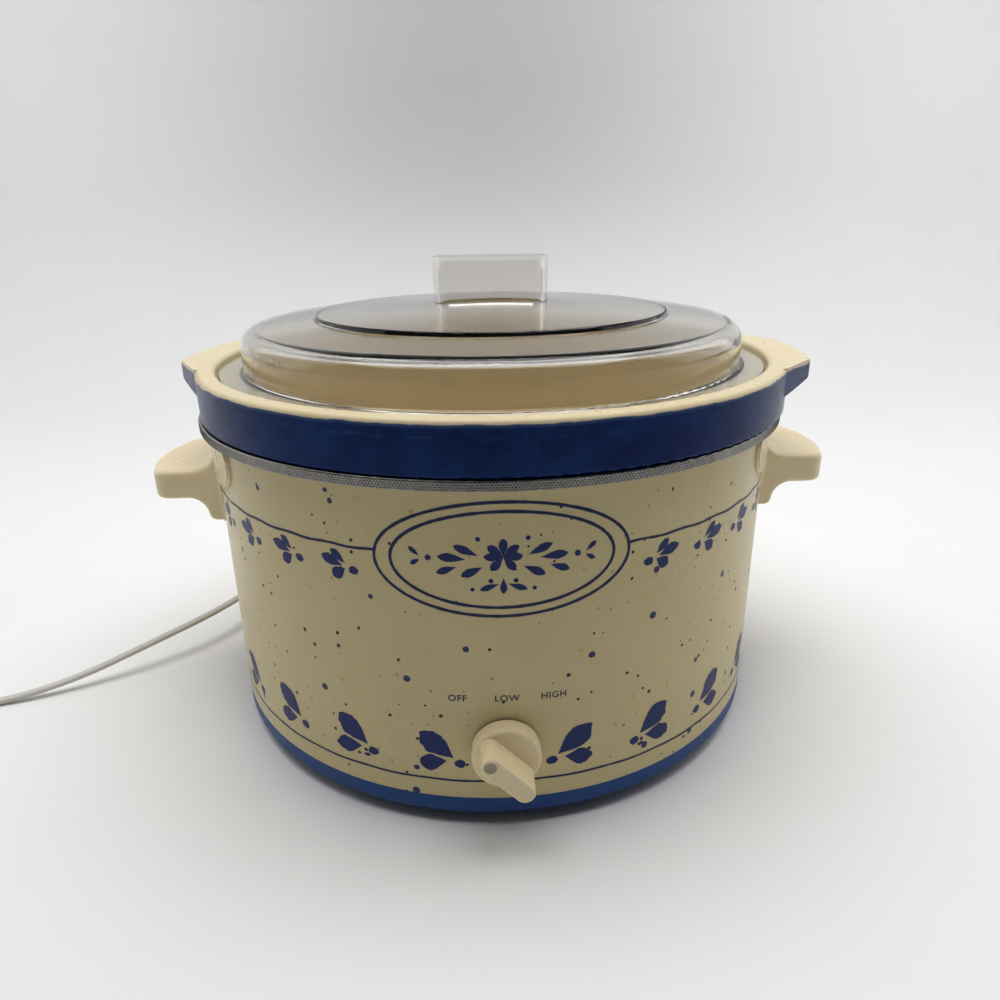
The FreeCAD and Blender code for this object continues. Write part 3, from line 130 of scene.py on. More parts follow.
# In metres: the table's front edge, the wall, half their width, the wall's top and the bend's radius.
tent_front, tent_back, tent_half, tent_top, tent_bend = -0.9, 0.75, 1.3, 1.5, 0.28
bend_steps = 12
profile = [(tent_front, 0.0)]
for step in range(bend_steps + 1):
    angle = math.radians(90 * step / bend_steps)
    profile.append((tent_back - tent_bend + tent_bend * math.sin(angle),
                    tent_bend - tent_bend * math.cos(angle)))
profile.append((tent_back, tent_top))
tent = bmesh.new()
rows = [[tent.verts.new((x, y, z)) for x in (-tent_half, tent_half)] for y, z in profile]
for low, high in zip(rows, rows[1:]):
    tent.faces.new((low[0], low[1], high[1], high[0])).smooth = True
tent_mesh = bpy.data.meshes.new("tent")
tent.to_mesh(tent_mesh)
tent.free()
tent_piece = new_piece("tent", tent_mesh, tent_white)

# Painted shade: the wall's upper middle is painted a darker grey for the light falling off high up behind the
# pot, where the panels don't reach; it fades out downwards and towards both sides.
painted_shade_foot, painted_shade_full, painted_shade_side, painted_shade_grey = -0.02, 0.42, 0.65, (0.50, 0.50, 0.51)
tent_place = add(tent_white, "TexCoord")
tent_axes = add(tent_white, "SeparateXYZ")
shade_by_height = add(tent_white, "MapRange", {"interpolation_type": "SMOOTHSTEP"},
                  From_Min=painted_shade_foot, From_Max=painted_shade_full)
tent_side = add(tent_white, "Math", {"operation": "ABSOLUTE"})
shade_by_middle = add(tent_white, "MapRange", {"interpolation_type": "SMOOTHSTEP"},
                  From_Min=painted_shade_side, From_Max=0.0)
painted_shade_amount = add(tent_white, "Math", {"operation": "MULTIPLY"})
# Mixes the painted shade's grey into the tent's white.
tent_painted_shade = add(tent_white, "Mix", {"data_type": "RGBA"})
tent_painted_shade.inputs[7].default_value = (*painted_shade_grey, 1)
wire(tent_white, (tent_place, "Object", tent_axes, "Vector"), (tent_axes, "Z", shade_by_height, "Value"),
     (tent_axes, "X", tent_side, 0), (tent_side, "Value", shade_by_middle, "Value"),
     (shade_by_height, "Result", painted_shade_amount, 0), (shade_by_middle, "Result", painted_shade_amount, 1),
     (painted_shade_amount, "Value", tent_painted_shade, "Factor"), (tent_tone, 2, tent_painted_shade, 6),
     (tent_painted_shade, 2, shader_of(tent_white), "Base Color"))


def lamp(name, place, aim, width, height, power):
    """A soft panel of white light; sizes are in metres and power in watts."""
    data = bpy.data.lights.new(name, "AREA")
    data.shape = "RECTANGLE"
    data.size, data.size_y, data.energy = width, height, power
    light = bpy.data.objects.new(name, data)
    bpy.context.scene.collection.objects.link(light)
    facing = (Vector(aim) - Vector(place)).to_track_quat("-Z", "Y").to_matrix().to_4x4()
    light.matrix_world = Matrix.Translation(place) @ facing


lamp("top_panel", (0, 0.02, 1.05), (0, 0.02, 0), 1.2, 0.7, 11.5)
lamp("left_panel", (-1.0, 0.25, 0.55), (0, 0.05, 0.1), 0.9, 0.9, 2.3)
lamp("right_panel", (1.0, 0.25, 0.55), (0, 0.05, 0.1), 0.9, 0.9, 3.0)
world = bpy.data.worlds.new("tent_air")
world.use_nodes = True
air = world.node_tree.nodes["Background"]
air.inputs["Color"].default_value = (0.95, 0.97, 1, 1)
air.inputs["Strength"].default_value = 0.06
bpy.context.scene.world = world

# ---------------------------------------------------------------- cord and plug
# Flat two-core vinyl cord, off-white. It leaves a tapered relief at the back, runs down and
# round the pot's left side, and what is left over is wound into a tied coil with its plug on it.
cord_width, cord_thick = 4.8, 2.6
coil_x, coil_y, coil_start = -316.0, -72.0, 78
turn_points, coil_points = 12, 30
turn_radii = (29.4, 24.7, 27.0)
# The coil's end climbs over its own turns at one point, and up to the plug at another.
crossing_turn, crossing_gap, plug_turn, plug_rise, climb_rate = 1.6, 0.3, 2.24, 8.4, 4
floor_run = cord_thick / 2
route = [
    (0, 161.2, 30), (0, 178, 30), (-10, 199, 25), (-34, 212, 16), (-68, 208, 9), (-102, 184, 3),
    (-127, 148, 3), (-142, 106, 9), (-150, 63, 16), (-164, 25, 18.5), (-194, -4, 14.5), (-228, -25, 6),
    (-264, -38, floor_run),
]
for place in range(coil_points):
    turns = place / turn_points
    angle = math.radians(coil_start) + turns * 2 * math.pi
    layer = min(int(turns + 0.5), 2)
    ease = min(max((turns - layer + 0.5) * 3, 0), 1) if layer else 1
    before = turn_radii[max(layer - 1, 0)]
    radius = before + (turn_radii[layer] - before) * ease
    level = floor_run + (crossing_gap + cord_thick) * max(0, min(1, (turns - crossing_turn) * climb_rate))
    level += plug_rise * max(0, min(1, (turns - plug_turn) * climb_rate))
    route.append((coil_x + radius * math.cos(angle), coil_y + radius * math.sin(angle), level))
plug_low, plug_high = (Vector(corner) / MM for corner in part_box("plug_body"))
plug_middle = (plug_low + plug_high) / 2
route.append((plug_low.x - 7, plug_middle.y, plug_middle.z))
route.append((plug_low.x, plug_middle.y, plug_middle.z))

vinyl = new_finish("vinyl", Specular_IOR_Level=0.4)
grain(vinyl, (0.60, 0.59, 0.54), (0.53, 0.51, 0.46), 14, (0.38, 0.55), bump=0.03, bump_size=1.2)
section = bpy.data.curves.new("cord_section", "CURVE")
section.dimensions = "2D"
outline = section.splines.new("POLY")
half_flat, half_thick = (cord_width - cord_thick) / 2, cord_thick / 2
groove_depth, edge_steps = 0.28, 6
corners = []
for side in (1, -1):
    for step in range(edge_steps + 1):
        angle = math.radians(side * 90 - 180 * step / edge_steps)
        corners.append((side * half_flat + half_thick * math.cos(angle), half_thick * math.sin(angle)))
    corners.append((0, -side * (half_thick - groove_depth)))
outline.points.add(len(corners) - 1)
for point, (across, high) in zip(outline.points, corners):
    point.co = (across * MM, high * MM, 0, 1)
outline.use_cyclic_u = True
section_object = bpy.data.objects.new("cord_section", section)
line = bpy.data.curves.new("power_cord", "CURVE")
line.dimensions = "3D"
line.twist_mode = "Z_UP"
line.bevel_mode = "OBJECT"
line.bevel_object = section_object
line.use_fill_caps = True
spline = line.splines.new("NURBS")
spline.points.add(len(route) - 1)
for point, spot in zip(spline.points, route):
    point.co = (*(value * MM for value in spot), 1)
spline.order_u = 3
spline.use_endpoint_u = True
spline.resolution_u = 8
line.materials.append(vinyl)
free_cord = bpy.data.objects.new("cord_free", line)
bpy.context.scene.collection.objects.link(free_cord)
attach(free_cord, "base")
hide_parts("power_cord", "cord_coil")


def finish_node(finish, *names):
    """Gives CAD nodes their finish."""
    for name in names:
        for slot in shown[name].material_slots:
            slot.material = finish


finish_node(vinyl, "strain_relief", "plug_body")
blade_metal = new_finish("blade_metal", Metallic=1)
grain(blade_metal, (0.75, 0.66, 0.42), (0.62, 0.52, 0.30), 3, (0.22, 0.4), stretch=(1, 4, 4))
finish_node(blade_metal, "plug_blades", "heater_terminals", "switch_terminals")
tie_black = new_finish("tie_black")
grain(tie_black, (0.03, 0.03, 0.03), (0.05, 0.05, 0.05), 2, (0.4, 0.6))
finish_node(tie_black, "cord_tie", "switch_body", "lead_live")

# ---------------------------------------------------------------- base ring
# The wrap stands in a moulded ring of blue plastic, a little duller than the crock's glaze.
# Four black rubber feet are pushed into it from below.
blue_plastic = new_finish("blue_plastic", Specular_IOR_Level=0.2)
grain(blue_plastic, (0.018, 0.075, 0.26), (0.014, 0.060, 0.21), 8, (0.30, 0.5), bump=0.02, bump_size=0.8)
finish_node(blue_plastic, "base_ring")

rubber = new_finish("foot_rubber", Specular_IOR_Level=0.3)
grain(rubber, (0.030, 0.030, 0.033), (0.045, 0.044, 0.044), 5, (0.55, 0.8), bump=0.03, bump_size=0.6)
finish_node(rubber, "feet")

# ---------------------------------------------------------------- underside and fixings
# A zinc-coated cover closes the base, held by four screws and by the nut on the centre stud.
# The liner, the spacer tube and the clamp strap are the same dull sheet.
zinc = new_finish("zinc_sheet", Metallic=1)
grain(zinc, (0.60, 0.61, 0.62), (0.44, 0.45, 0.47), 11, (0.30, 0.52), bump=0.015, bump_size=0.7)
finish_node(zinc, "bottom_cover", "inner_pan", "spacer_tube", "band_strap")
plated = new_finish("plated_steel", Metallic=1)
grain(plated, (0.70, 0.71, 0.72), (0.55, 0.55, 0.54), 3, (0.2, 0.4), bump=0.01, bump_size=0.4)
finish_node(plated, "cover_screws", "centre_stud", "centre_washer", "centre_nut", "strap_screw", "strap_nut",
            "switch_washer", "switch_nut", "switch_shaft", "knob_clip", "handle_screws", "handle_washers")

# ---------------------------------------------------------------- heater and wiring
# A foil-faced heating band is clamped round the liner, with glass wool outside it; insulated
# leads run from the cord's splices to the switch and up to the band's terminals.
foil = new_finish("heater_foil", Metallic=1)
grain(foil, (0.74, 0.72, 0.68), (0.58, 0.55, 0.50), 6, (0.25, 0.5), bump=0.12, bump_size=2.5)
finish_node(foil, "heating_band")
wool = new_finish("glass_wool", Sheen_Weight=0.2)
grain(wool, (0.86, 0.82, 0.66), (0.74, 0.69, 0.50), 4, (0.85, 1), bump=0.5, bump_size=1.1,
      stretch=(1, 1, 2.5))
finish_node(wool, "insulation_blanket")
for sleeve, name, pale, dark in (
        ("lead_neutral", "lead_white", (0.80, 0.80, 0.78), (0.70, 0.70, 0.67)),
        ("lead_low", "lead_red", (0.42, 0.03, 0.02), (0.32, 0.02, 0.02)),
        ("lead_high", "lead_yellow", (0.72, 0.50, 0.06), (0.60, 0.40, 0.05)),
        ("cord_splices", "splice_nylon", (0.80, 0.76, 0.64), (0.70, 0.66, 0.55))):
    sleeving = new_finish(name, Specular_IOR_Level=0.4)
    grain(sleeving, pale, dark, 3, (0.4, 0.6), bump=0.05, bump_size=0.5)
    finish_node(sleeving, sleeve)

# ---------------------------------------------------------------- enamelled wrap
# Rolled steel wrap in cream enamel, with blue and brown flecks fired into it.
# Each fleck sits in one cell of a scattered pattern, and its own random number sets its size.
enamel = new_finish("speckled_enamel", Specular_IOR_Level=0.3)
cream, cream_shade = (0.670, 0.560, 0.300), (0.625, 0.515, 0.262)
under = grain(enamel, cream, cream_shade, 28, (0.24, 0.36), bump=0.01, bump_size=5), 2


def fleck(finish, below, colour, spacing, share, largest, strength=1.0):
    """Lays flecks over the colour that comes from a node; spacing and largest size in mm."""
    place = add(finish, "TexCoord")
    wobble = add(finish, "TexNoise", Scale=1 / (0.9 * MM), Detail=2)
    shift = add(finish, "VectorMath", {"operation": "MULTIPLY_ADD"})
    shift.inputs[1].default_value = (0.5 * MM,) * 3
    cells = add(finish, "TexVoronoi", Scale=1 / (spacing * MM))
    pick = add(finish, "SeparateColor")
    reach = add(finish, "MapRange", From_Min=1 - share, From_Max=1, To_Min=0, To_Max=largest / spacing / 2)
    edge = add(finish, "Math", {"operation": "SUBTRACT"})
    cover = add(finish, "MapRange", From_Min=-0.006, From_Max=0.010, To_Min=0, To_Max=strength)
    lay = add(finish, "Mix", {"data_type": "RGBA"})
    lay.inputs[7].default_value = (*colour, 1)
    wire(finish, (place, "Object", wobble, "Vector"), (wobble, "Color", shift, 0),
         (place, "Object", shift, 2), (shift, "Vector", cells, "Vector"), (cells, "Color", pick, "Color"),
         (pick, "Red", reach, "Value"), (reach, "Result", edge, 0), (cells, "Distance", edge, 1),
         (edge, "Value", cover, "Value"), (cover, "Result", lay, "Factor"), (below[0], below[1], lay, 6))
    return lay, 2


ink_blue, ink_dark = (0.016, 0.022, 0.105), (0.008, 0.009, 0.020)
ink_tan, ink_brown = (0.42, 0.27, 0.10), (0.36, 0.22, 0.07)
under = fleck(enamel, under, ink_tan, 7.5, 0.30, 2.2, 0.45)
under = fleck(enamel, under, ink_brown, 4.6, 0.40, 1.7, 0.6)
under = fleck(enamel, under, ink_dark, 5.0, 0.55, 1.9)
under = fleck(enamel, under, ink_blue, 12.0, 0.70, 3.8)
wire(enamel, (*under, shader_of(enamel), "Base Color"))
finish_node(enamel, "outer_shell")

# ---------------------------------------------------------------- print on the wrap
# Dark blue screen print, fired on: an oval cartouche, a line round the top, a thin line round
# the foot, brushed leaf sprigs that face the front from both sides, and the dial's words.
wall = 135.0
print_lift = 0.05
print_blue = new_finish("print_blue", Specular_IOR_Level=0.2)
grain(print_blue, (0.013, 0.030, 0.165), (0.008, 0.018, 0.090), 3.5, (0.3, 0.45))
print_line = new_finish("print_line", Specular_IOR_Level=0.2)
grain(print_line, (0.010, 0.016, 0.070), (0.020, 0.030, 0.100), 5, (0.3, 0.45))
brush = random.Random(11)


def leaf(base, tip, width, ragged=0.0, belly=0.62):
    """A brush stroke from its narrow base to its broad, ragged tip, as an outline."""
    base, tip = Vector(base), Vector(tip)
    along = tip - base
    across = Vector((-along.y, along.x)).normalized()
    steps = 14
    sides = []
    for side in (1, -1):
        edge = []
        for step in range(1, steps):
            t = step / steps
            half = width / 2 * math.sin(math.pi * t ** (math.log(0.5) / math.log(belly))) ** 0.8
            rough = ragged * t * brush.uniform(-1, 1)
            edge.append(base + along * t + across * side * (half + rough))
        sides.append(edge)
    return [base, *sides[0], tip + along.normalized() * ragged * brush.uniform(-1, 0.5), *reversed(sides[1])]


def blot(middle, wide, high, ragged=0.12):
    """A round touch of the brush, as an outline."""
    steps = 14
    return [Vector(middle) + Vector((wide / 2 * math.cos(2 * math.pi * step / steps),
                                     high / 2 * math.sin(2 * math.pi * step / steps)))
            * (1 + brush.uniform(-ragged, ragged)) for step in range(steps)]


def ribbon(spots, width, closed=False):
    """Quads along a drawn line, as (corner, corner, corner, corner)."""
    spots = [Vector(spot) for spot in spots]
    count = len(spots)
    rails = []
    for place, spot in enumerate(spots):
        before = spots[place - 1] if place or closed else spot
        after = spots[(place + 1) % count] if place + 1 < count or closed else spot
        along = (after - before).normalized()
        across = Vector((-along.y, along.x)) * width / 2 * (1 + brush.uniform(-0.12, 0.12))
        rails.append((spot + across, spot - across))
    pairs = list(zip(rails, rails[1:])) + ([(rails[-1], rails[0])] if closed else [])
    return [(a[1], b[1], b[0], a[0]) for a, b in pairs]


def printed(name, outlines, finish, flat_mesh=None):
    """Cuts flat drawings into narrow strips and lays them on the wrap; sizes in mm."""
    art = bmesh.new()
    if flat_mesh:
        art.from_mesh(flat_mesh)
    for outline_points in outlines:
        art.faces.new([art.verts.new((point.x, point.y, 0)) for point in outline_points])
    bmesh.ops.triangulate(art, faces=art.faces[:])
    low = min(vert.co.x for vert in art.verts)
    high = max(vert.co.x for vert in art.verts)
    strip = 2.5  # narrow enough to follow the wrap's curve
    for cut in range(1, int((high - low) / strip) + 1):
        bmesh.ops.bisect_plane(art, geom=art.verts[:] + art.edges[:] + art.faces[:], dist=1e-5,
                               plane_co=(low + cut * strip, 0, 0), plane_no=(1, 0, 0))
    bmesh.ops.remove_doubles(art, verts=art.verts[:], dist=1e-4)
    for face in art.faces:
        face.smooth = True
        if face.normal.z < 0:
            face.normal_flip()
    for vert in art.verts:
        turned = vert.co.x / wall
        reach = (wall + print_lift) * MM
        vert.co = (reach * math.sin(turned), -reach * math.cos(turned), vert.co.y * MM)
    mesh = bpy.data.meshes.new(name)
    art.to_mesh(mesh)
    art.free()
    piece = new_piece(name, mesh, finish)
    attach(piece, "base")


oval_outer, oval_inner, oval_level, oval_points = (96.4, 45.1), (83.6, 37.9), 121.0, 120
band_level, band_points = 123.0, 260
foot_level, foot_start, foot_points = 22.6, 8.0, 280
oval_weight, band_weight, foot_weight = 1.25, 1.1, 1.0
lines = []
for wide, high in (oval_outer, oval_inner):
    ring = [(wide / 2 * math.cos(2 * math.pi * step / oval_points),
             oval_level + high / 2 * math.sin(2 * math.pi * step / oval_points))
            for step in range(oval_points)]
    lines += ribbon(ring, oval_weight, closed=True)
half_round = math.pi * wall
band_start = oval_outer[0] / 2
lines += ribbon([(band_start + (2 * half_round - 2 * band_start) * step / band_points,
                  band_level + 0.25 * math.sin(step * 0.9)) for step in range(band_points + 1)], band_weight)
lines += ribbon([(foot_start + (2 * half_round - 2 * foot_start) * step / foot_points,
                  foot_level + 0.12 * math.sin(step * 0.7)) for step in range(foot_points + 1)], foot_weight)
printed("printed_lines", lines, print_line)

sprigs = []
upper_start, upper_step, upper_level = 27.0, 11.35, 115.4
lower_start, lower_step, lower_level = 11.6, 15.8, 37.0
last_turn = 172


def set_down(outlines, turn_degrees, level, side):
    """Copies a sprig to its place round the wrap, mirrored on the left."""
    middle = math.radians(turn_degrees) * wall
    for shape in outlines:
        moved = [Vector((side * (middle + point.x), level + point.y)) for point in shape]
        sprigs.append(moved if side > 0 else moved[::-1])


for side in (1, -1):
    for place in range(14):
        where = upper_start + place * upper_step
        if where > last_turn:
            break
        set_down([
            blot((-6.4 + brush.uniform(-0.3, 0.3), -2.2), 4.3, 3.5),
            leaf((-2.6, 0.2), (3.6 + brush.uniform(-0.6, 0.6), 5.4), 3.6, 0.22),
            leaf((-1.4, -0.9), (8.8 + brush.uniform(-0.8, 0.8), 2.0), 4.6, 0.25),
            leaf((-2.4, -1.8), (3.6, -5.8 + brush.uniform(-0.5, 0.5)), 5.2, 0.25),
        ], where, upper_level, side)
    for place in range(10):
        where = lower_start + place * lower_step
        if where > last_turn:
            break
        shapes = [
            leaf((-6.3, -3.4), (7.6 + brush.uniform(-0.7, 0.7), 8.4 + brush.uniform(-0.8, 0.8)),
                 10.0, 0.7, 0.6),
            leaf((-3.4, -5.0), (9.0 + brush.uniform(-0.8, 0.8), -7.0), 7.8, 0.7, 0.6),
            blot((-8.8, -6.0), 4.8, 4.0),
        ]
        if place % 3 == 1:
            shapes += [blot((-5.6, -8.6), 3.2, 1.7, 0.2), blot((-5.2, -6.4), 1.8, 1.8, 0.2)]
        set_down(shapes, where, lower_level, side)

# The flower and its spray of leaves in the oval.
petal_length, flower_level = 7.2, 122.5
spray = [leaf((0, 0), (petal_length * math.cos(math.radians(way)),
                       petal_length * math.sin(math.radians(way))), 3.3, 0.15)
         for way in (90, 38, 142, 0, 180, -50, -130)]
spray = [[point + Vector((0, flower_level)) for point in shape] for shape in spray]
for side in (1, -1):
    for root, tip, width in (((9.0, 123.0), (18.0, 127.0), 3.2), ((13.5, 121.6), (24.0, 122.6), 3.4),
                             ((7.4, 118.6), (15.5, 114.8), 3.2), ((17.0, 118.6), (24.6, 116.0), 2.8),
                             ((30.6, 122.4), (34.6, 126.0), 1.9), ((30.4, 121.2), (34.2, 119.0), 1.9)):
        spray.append(leaf((side * root[0], root[1]), (side * tip[0], tip[1]), width, 0.15))
    for middle, wide in (((27.4, 122.0), 2.4), ((9.0, 129.6), 1.8), ((4.6, 113.0), 1.8)):
        spray.append(blot((side * middle[0], middle[1]), wide, wide))
spray.append(leaf((0, 114.0), (0, 107.6), 2.6, 0.1))
for side in (1, -1):
    spray.append(leaf((side * 1.6, 111.8), (side * 8.8, 109.2), 2.4, 0.1))
    spray.append(blot((side * 11.4, 109.6), 1.6, 1.6))
printed("printed_leaves", sprigs + spray, print_blue)

# The heat settings over the knob.
word_level, letter_size, letter_swell, letter_spacing = 61.0, 4.0, 0.05, 1.1
for word, across in (("OFF", -18.6), ("LOW", 0.7), ("HIGH", 19.1)):
    letters = bpy.data.curves.new("letters", "FONT")
    letters.body = word
    letters.size = letter_size
    letters.offset = letter_swell
    letters.space_character = letter_spacing
    letters.align_x = "CENTER"
    letters_object = bpy.data.objects.new("letters", letters)
    bpy.context.scene.collection.objects.link(letters_object)
    bpy.context.view_layer.update()
    settled = letters_object.evaluated_get(bpy.context.evaluated_depsgraph_get())
    flat = bpy.data.meshes.new_from_object(settled)
    flat.transform(Matrix.Translation((across, word_level, 0)))
    bpy.data.objects.remove(letters_object)
    printed("printed_" + word.lower(), [], print_line, flat)

# ---------------------------------------------------------------- trim ring
# Bright sheet ring between the wrap and the crock, rolled with a fine diamond knurl.
# The knurl is raised: four staggered rows of small four-sided points.
bright = new_finish("knurled_trim", Metallic=1)
grain(bright, (0.40, 0.385, 0.36), (0.20, 0.19, 0.175), 2.2, (0.25, 0.45), bump=0.02, bump_size=0.5)
finish_node(bright, "trim_ring")
trim_low, trim_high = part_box("trim_ring")
point_mesh = bpy.data.meshes.new("knurl_point")
half_point, point_rise = 0.62, 0.34
point_mesh.from_pydata(
    [Vector(spot) * MM for spot in ((half_point, 0, 0), (0, half_point, 0), (-half_point, 0, 0),
                                    (0, -half_point, 0), (0, 0, point_rise))], [],
    [(0, 1, 4), (1, 2, 4), (2, 3, 4), (3, 0, 4)])
point_object = bpy.data.objects.new("knurl_point", point_mesh)

knurl_count, knurl_rows = 700, 4
clear_below, clear_above = 0.25, 0.45
knurl = bpy.data.node_groups.new("knurl", "GeometryNodeTree")
for name, kind in (("Radius", "NodeSocketFloat"), ("Low", "NodeSocketFloat"), ("High", "NodeSocketFloat"),
                   ("Count", "NodeSocketInt"), ("Rows", "NodeSocketInt"), ("Point", "NodeSocketObject"),
                   ("Finish", "NodeSocketMaterial")):
    knurl.interface.new_socket(name, in_out="INPUT", socket_type=kind)
knurl.interface.new_socket("Geometry", in_out="OUTPUT", socket_type="NodeSocketGeometry")


def tree_node(tree, kind, settings=None):
    """A new node in a geometry tree, with its settings."""
    node = tree.nodes.new(kind)
    for key, value in (settings or {}).items():
        setattr(node, key, value)
    return node


def sums(tree, operation, first, second):
    """A Math node; each term is a number or (node, output)."""
    node = tree_node(tree, "ShaderNodeMath", {"operation": operation})
    for place, term in enumerate((first, second)):
        if isinstance(term, tuple):
            tree.links.new(term[0].outputs[term[1]], node.inputs[place])
        else:
            node.inputs[place].default_value = term
    return node, 0


given = tree_node(knurl, "NodeGroupInput")
rows_line = tree_node(knurl, "GeometryNodeMeshLine")
total = sums(knurl, "MULTIPLY", (given, "Count"), (given, "Rows"))
knurl.links.new(total[0].outputs[0], rows_line.inputs["Count"])
index = tree_node(knurl, "GeometryNodeInputIndex")
row = sums(knurl, "FLOOR", sums(knurl, "DIVIDE", (index, 0), (given, "Count")), 0)
stagger = sums(knurl, "MULTIPLY", sums(knurl, "MODULO", row, 2), 0.5)
pace = sums(knurl, "DIVIDE", 2 * math.pi, (given, "Count"))
angle_field = sums(knurl, "MULTIPLY", sums(knurl, "ADD", (index, 0), stagger), pace)
rise = sums(knurl, "DIVIDE", sums(knurl, "SUBTRACT", (given, "High"), (given, "Low")), (given, "Rows"))
level_field = sums(knurl, "ADD", (given, "Low"), sums(knurl, "MULTIPLY", sums(knurl, "ADD", row, 0.5), rise))
spot = tree_node(knurl, "ShaderNodeCombineXYZ")
for socket, term in (("X", sums(knurl, "MULTIPLY", sums(knurl, "COSINE", angle_field, 0), (given, "Radius"))),
                     ("Y", sums(knurl, "MULTIPLY", sums(knurl, "SINE", angle_field, 0), (given, "Radius"))),
                     ("Z", level_field)):
    knurl.links.new(term[0].outputs[0], spot.inputs[socket])
put = tree_node(knurl, "GeometryNodeSetPosition")
spread_points = tree_node(knurl, "GeometryNodeInstanceOnPoints")
outward = tree_node(knurl, "FunctionNodeAlignRotationToVector", {"axis": "Z"})
flat_out = tree_node(knurl, "ShaderNodeVectorMath", {"operation": "MULTIPLY"})
flat_out.inputs[1].default_value = (1, 1, 0)
here = tree_node(knurl, "GeometryNodeInputPosition")
stamp = tree_node(knurl, "GeometryNodeObjectInfo")
real = tree_node(knurl, "GeometryNodeRealizeInstances")
coat = tree_node(knurl, "GeometryNodeSetMaterial")
out = tree_node(knurl, "NodeGroupOutput")
for source, output, target, socket in (
        (rows_line, "Mesh", put, "Geometry"), (spot, "Vector", put, "Position"),
        (put, "Geometry", spread_points, "Points"), (here, "Position", flat_out, 0),
        (flat_out, "Vector", outward, "Vector"), (outward, "Rotation", spread_points, "Rotation"),
        (given, "Point", stamp, "Object"), (stamp, "Geometry", spread_points, "Instance"),
        (spread_points, "Instances", real, "Geometry"), (real, "Geometry", coat, "Geometry"),
        (given, "Finish", coat, "Material"), (coat, "Geometry", out, "Geometry")):
    knurl.links.new(source.outputs[output], target.inputs[socket])


def grown(name, tree, values, finish):
    """Runs a node tree on an empty mesh and keeps the result as a plain piece."""
    piece = new_piece(name, bpy.data.meshes.new(name), finish)
    modifier = piece.modifiers.new(name, "NODES")
    modifier.node_group = tree
    for item in tree.interface.items_tree:
        if item.item_type == "SOCKET" and item.in_out == "INPUT" and item.name in values:
            modifier[item.identifier] = values[item.name]
    bpy.context.view_layer.update()
    result = bpy.data.meshes.new_from_object(piece.evaluated_get(bpy.context.evaluated_depsgraph_get()))
    piece.modifiers.remove(modifier)
    piece.data = result
    return piece


knurling = grown("trim_knurl", knurl, {
    "Radius": trim_high.x, "Low": trim_low.z + clear_below * MM, "High": trim_high.z - clear_above * MM,
    "Count": knurl_count, "Rows": knurl_rows, "Point": point_object, "Finish": bright}, bright)
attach(knurling, "base")

# ---------------------------------------------------------------- side handles
# Two cream phenolic mouldings with a satin face, one on each side of the wrap.
# Each is held by two screws with washers, driven from inside the wrap.
cream_plastic = new_finish("cream_plastic", Specular_IOR_Level=0.4)
grain(cream_plastic, (0.88, 0.75, 0.48), (0.83, 0.69, 0.42), 16, (0.2, 0.34), bump=0.005, bump_size=1.5)
finish_node(cream_plastic, "left_handle", "right_handle", "control_knob")

# ---------------------------------------------------------------- control knob
# The knob is moulded in the same cream plastic, and a clip holds it on the switch's shaft.
# A shallow dot with a raised rim marks its pointer end, which stands at OFF; the dot is painted a darker copy
# of the cream, as painted shade in its hollow.
grip_end, knob_level, off_turn = 9.4, 39, math.radians(45)
dot_sides = 40
dot_ring = bmesh.new()
dot_middle = Vector((-grip_end * math.sin(off_turn), 0, knob_level + grip_end * math.cos(off_turn)))
knob_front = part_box("control_knob")[0].y / MM
dot_profile = [(0.0, 0.02), (1.55, 0.02), (1.75, 0.10), (1.95, 0.22), (2.25, 0.22), (2.5, 0.0)]
dot_rows = []
for radius, rise_mm in dot_profile:
    dot_rows.append([dot_ring.verts.new((
        dot_middle.x + radius * math.cos(2 * math.pi * k / dot_sides), knob_front - rise_mm,
        dot_middle.z + radius * math.sin(2 * math.pi * k / dot_sides))) for k in range(dot_sides)])
for inner, outer in zip(dot_rows, dot_rows[1:]):
    for k in range(dot_sides):
        after = (k + 1) % dot_sides
        dot_ring.faces.new((inner[k], outer[k], outer[after], inner[after])).smooth = True
bmesh.ops.remove_doubles(dot_ring, verts=dot_ring.verts[:], dist=1e-4)
bmesh.ops.recalc_face_normals(dot_ring, faces=dot_ring.faces[:])
if sum(face.normal.y for face in dot_ring.faces) > 0:
    bmesh.ops.reverse_faces(dot_ring, faces=dot_ring.faces[:])
bmesh.ops.scale(dot_ring, vec=(MM, MM, MM), verts=dot_ring.verts[:])
dot_mesh = bpy.data.meshes.new("knob_dot")
dot_ring.to_mesh(dot_mesh)
dot_ring.free()
# Painted shade: the dot's colour is the knob's cream at about half its brightness.
dot_shade_finish = new_finish("dot_painted_shade", Specular_IOR_Level=0.3)
grain(dot_shade_finish, (0.42, 0.365, 0.255), (0.35, 0.30, 0.20), 2, (0.4, 0.6))
knob_dot = new_piece("knob_dot", dot_mesh, dot_shade_finish)
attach(knob_dot, "knob")

# ---------------------------------------------------------------- crock
# Thick stoneware, glazed cream inside and on the rim, dipped in cobalt blue round the outside.
# The blue stops unevenly just under the rim, where it runs thin and pale. It lifts out of the liner.
glaze = new_finish("crock_glaze", Specular_IOR_Level=0.1)
cream_glaze = grain(glaze, (0.72, 0.62, 0.405), (0.66, 0.555, 0.345), 24, (0.2, 0.34),
                    bump=0.02, bump_size=14)
rim_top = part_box("stoneware_crock")[1].z
crock_shift, dipped_radius = 1.2, 134.6
edge_high, edge_low = rim_top - 1.2 * MM, rim_top - 1.9 * MM
streak_high, streak_low = rim_top - 5.4 * MM, rim_top - 6.6 * MM
where = add(glaze, "TexCoord")
axes = add(glaze, "SeparateXYZ")
flat_only = add(glaze, "VectorMath", {"operation": "MULTIPLY_ADD"})
flat_only.inputs[1].default_value = (1, 1, 0)
flat_only.inputs[2].default_value = (-crock_shift * MM, 0, 0)
from_axis = add(glaze, "VectorMath", {"operation": "LENGTH"})
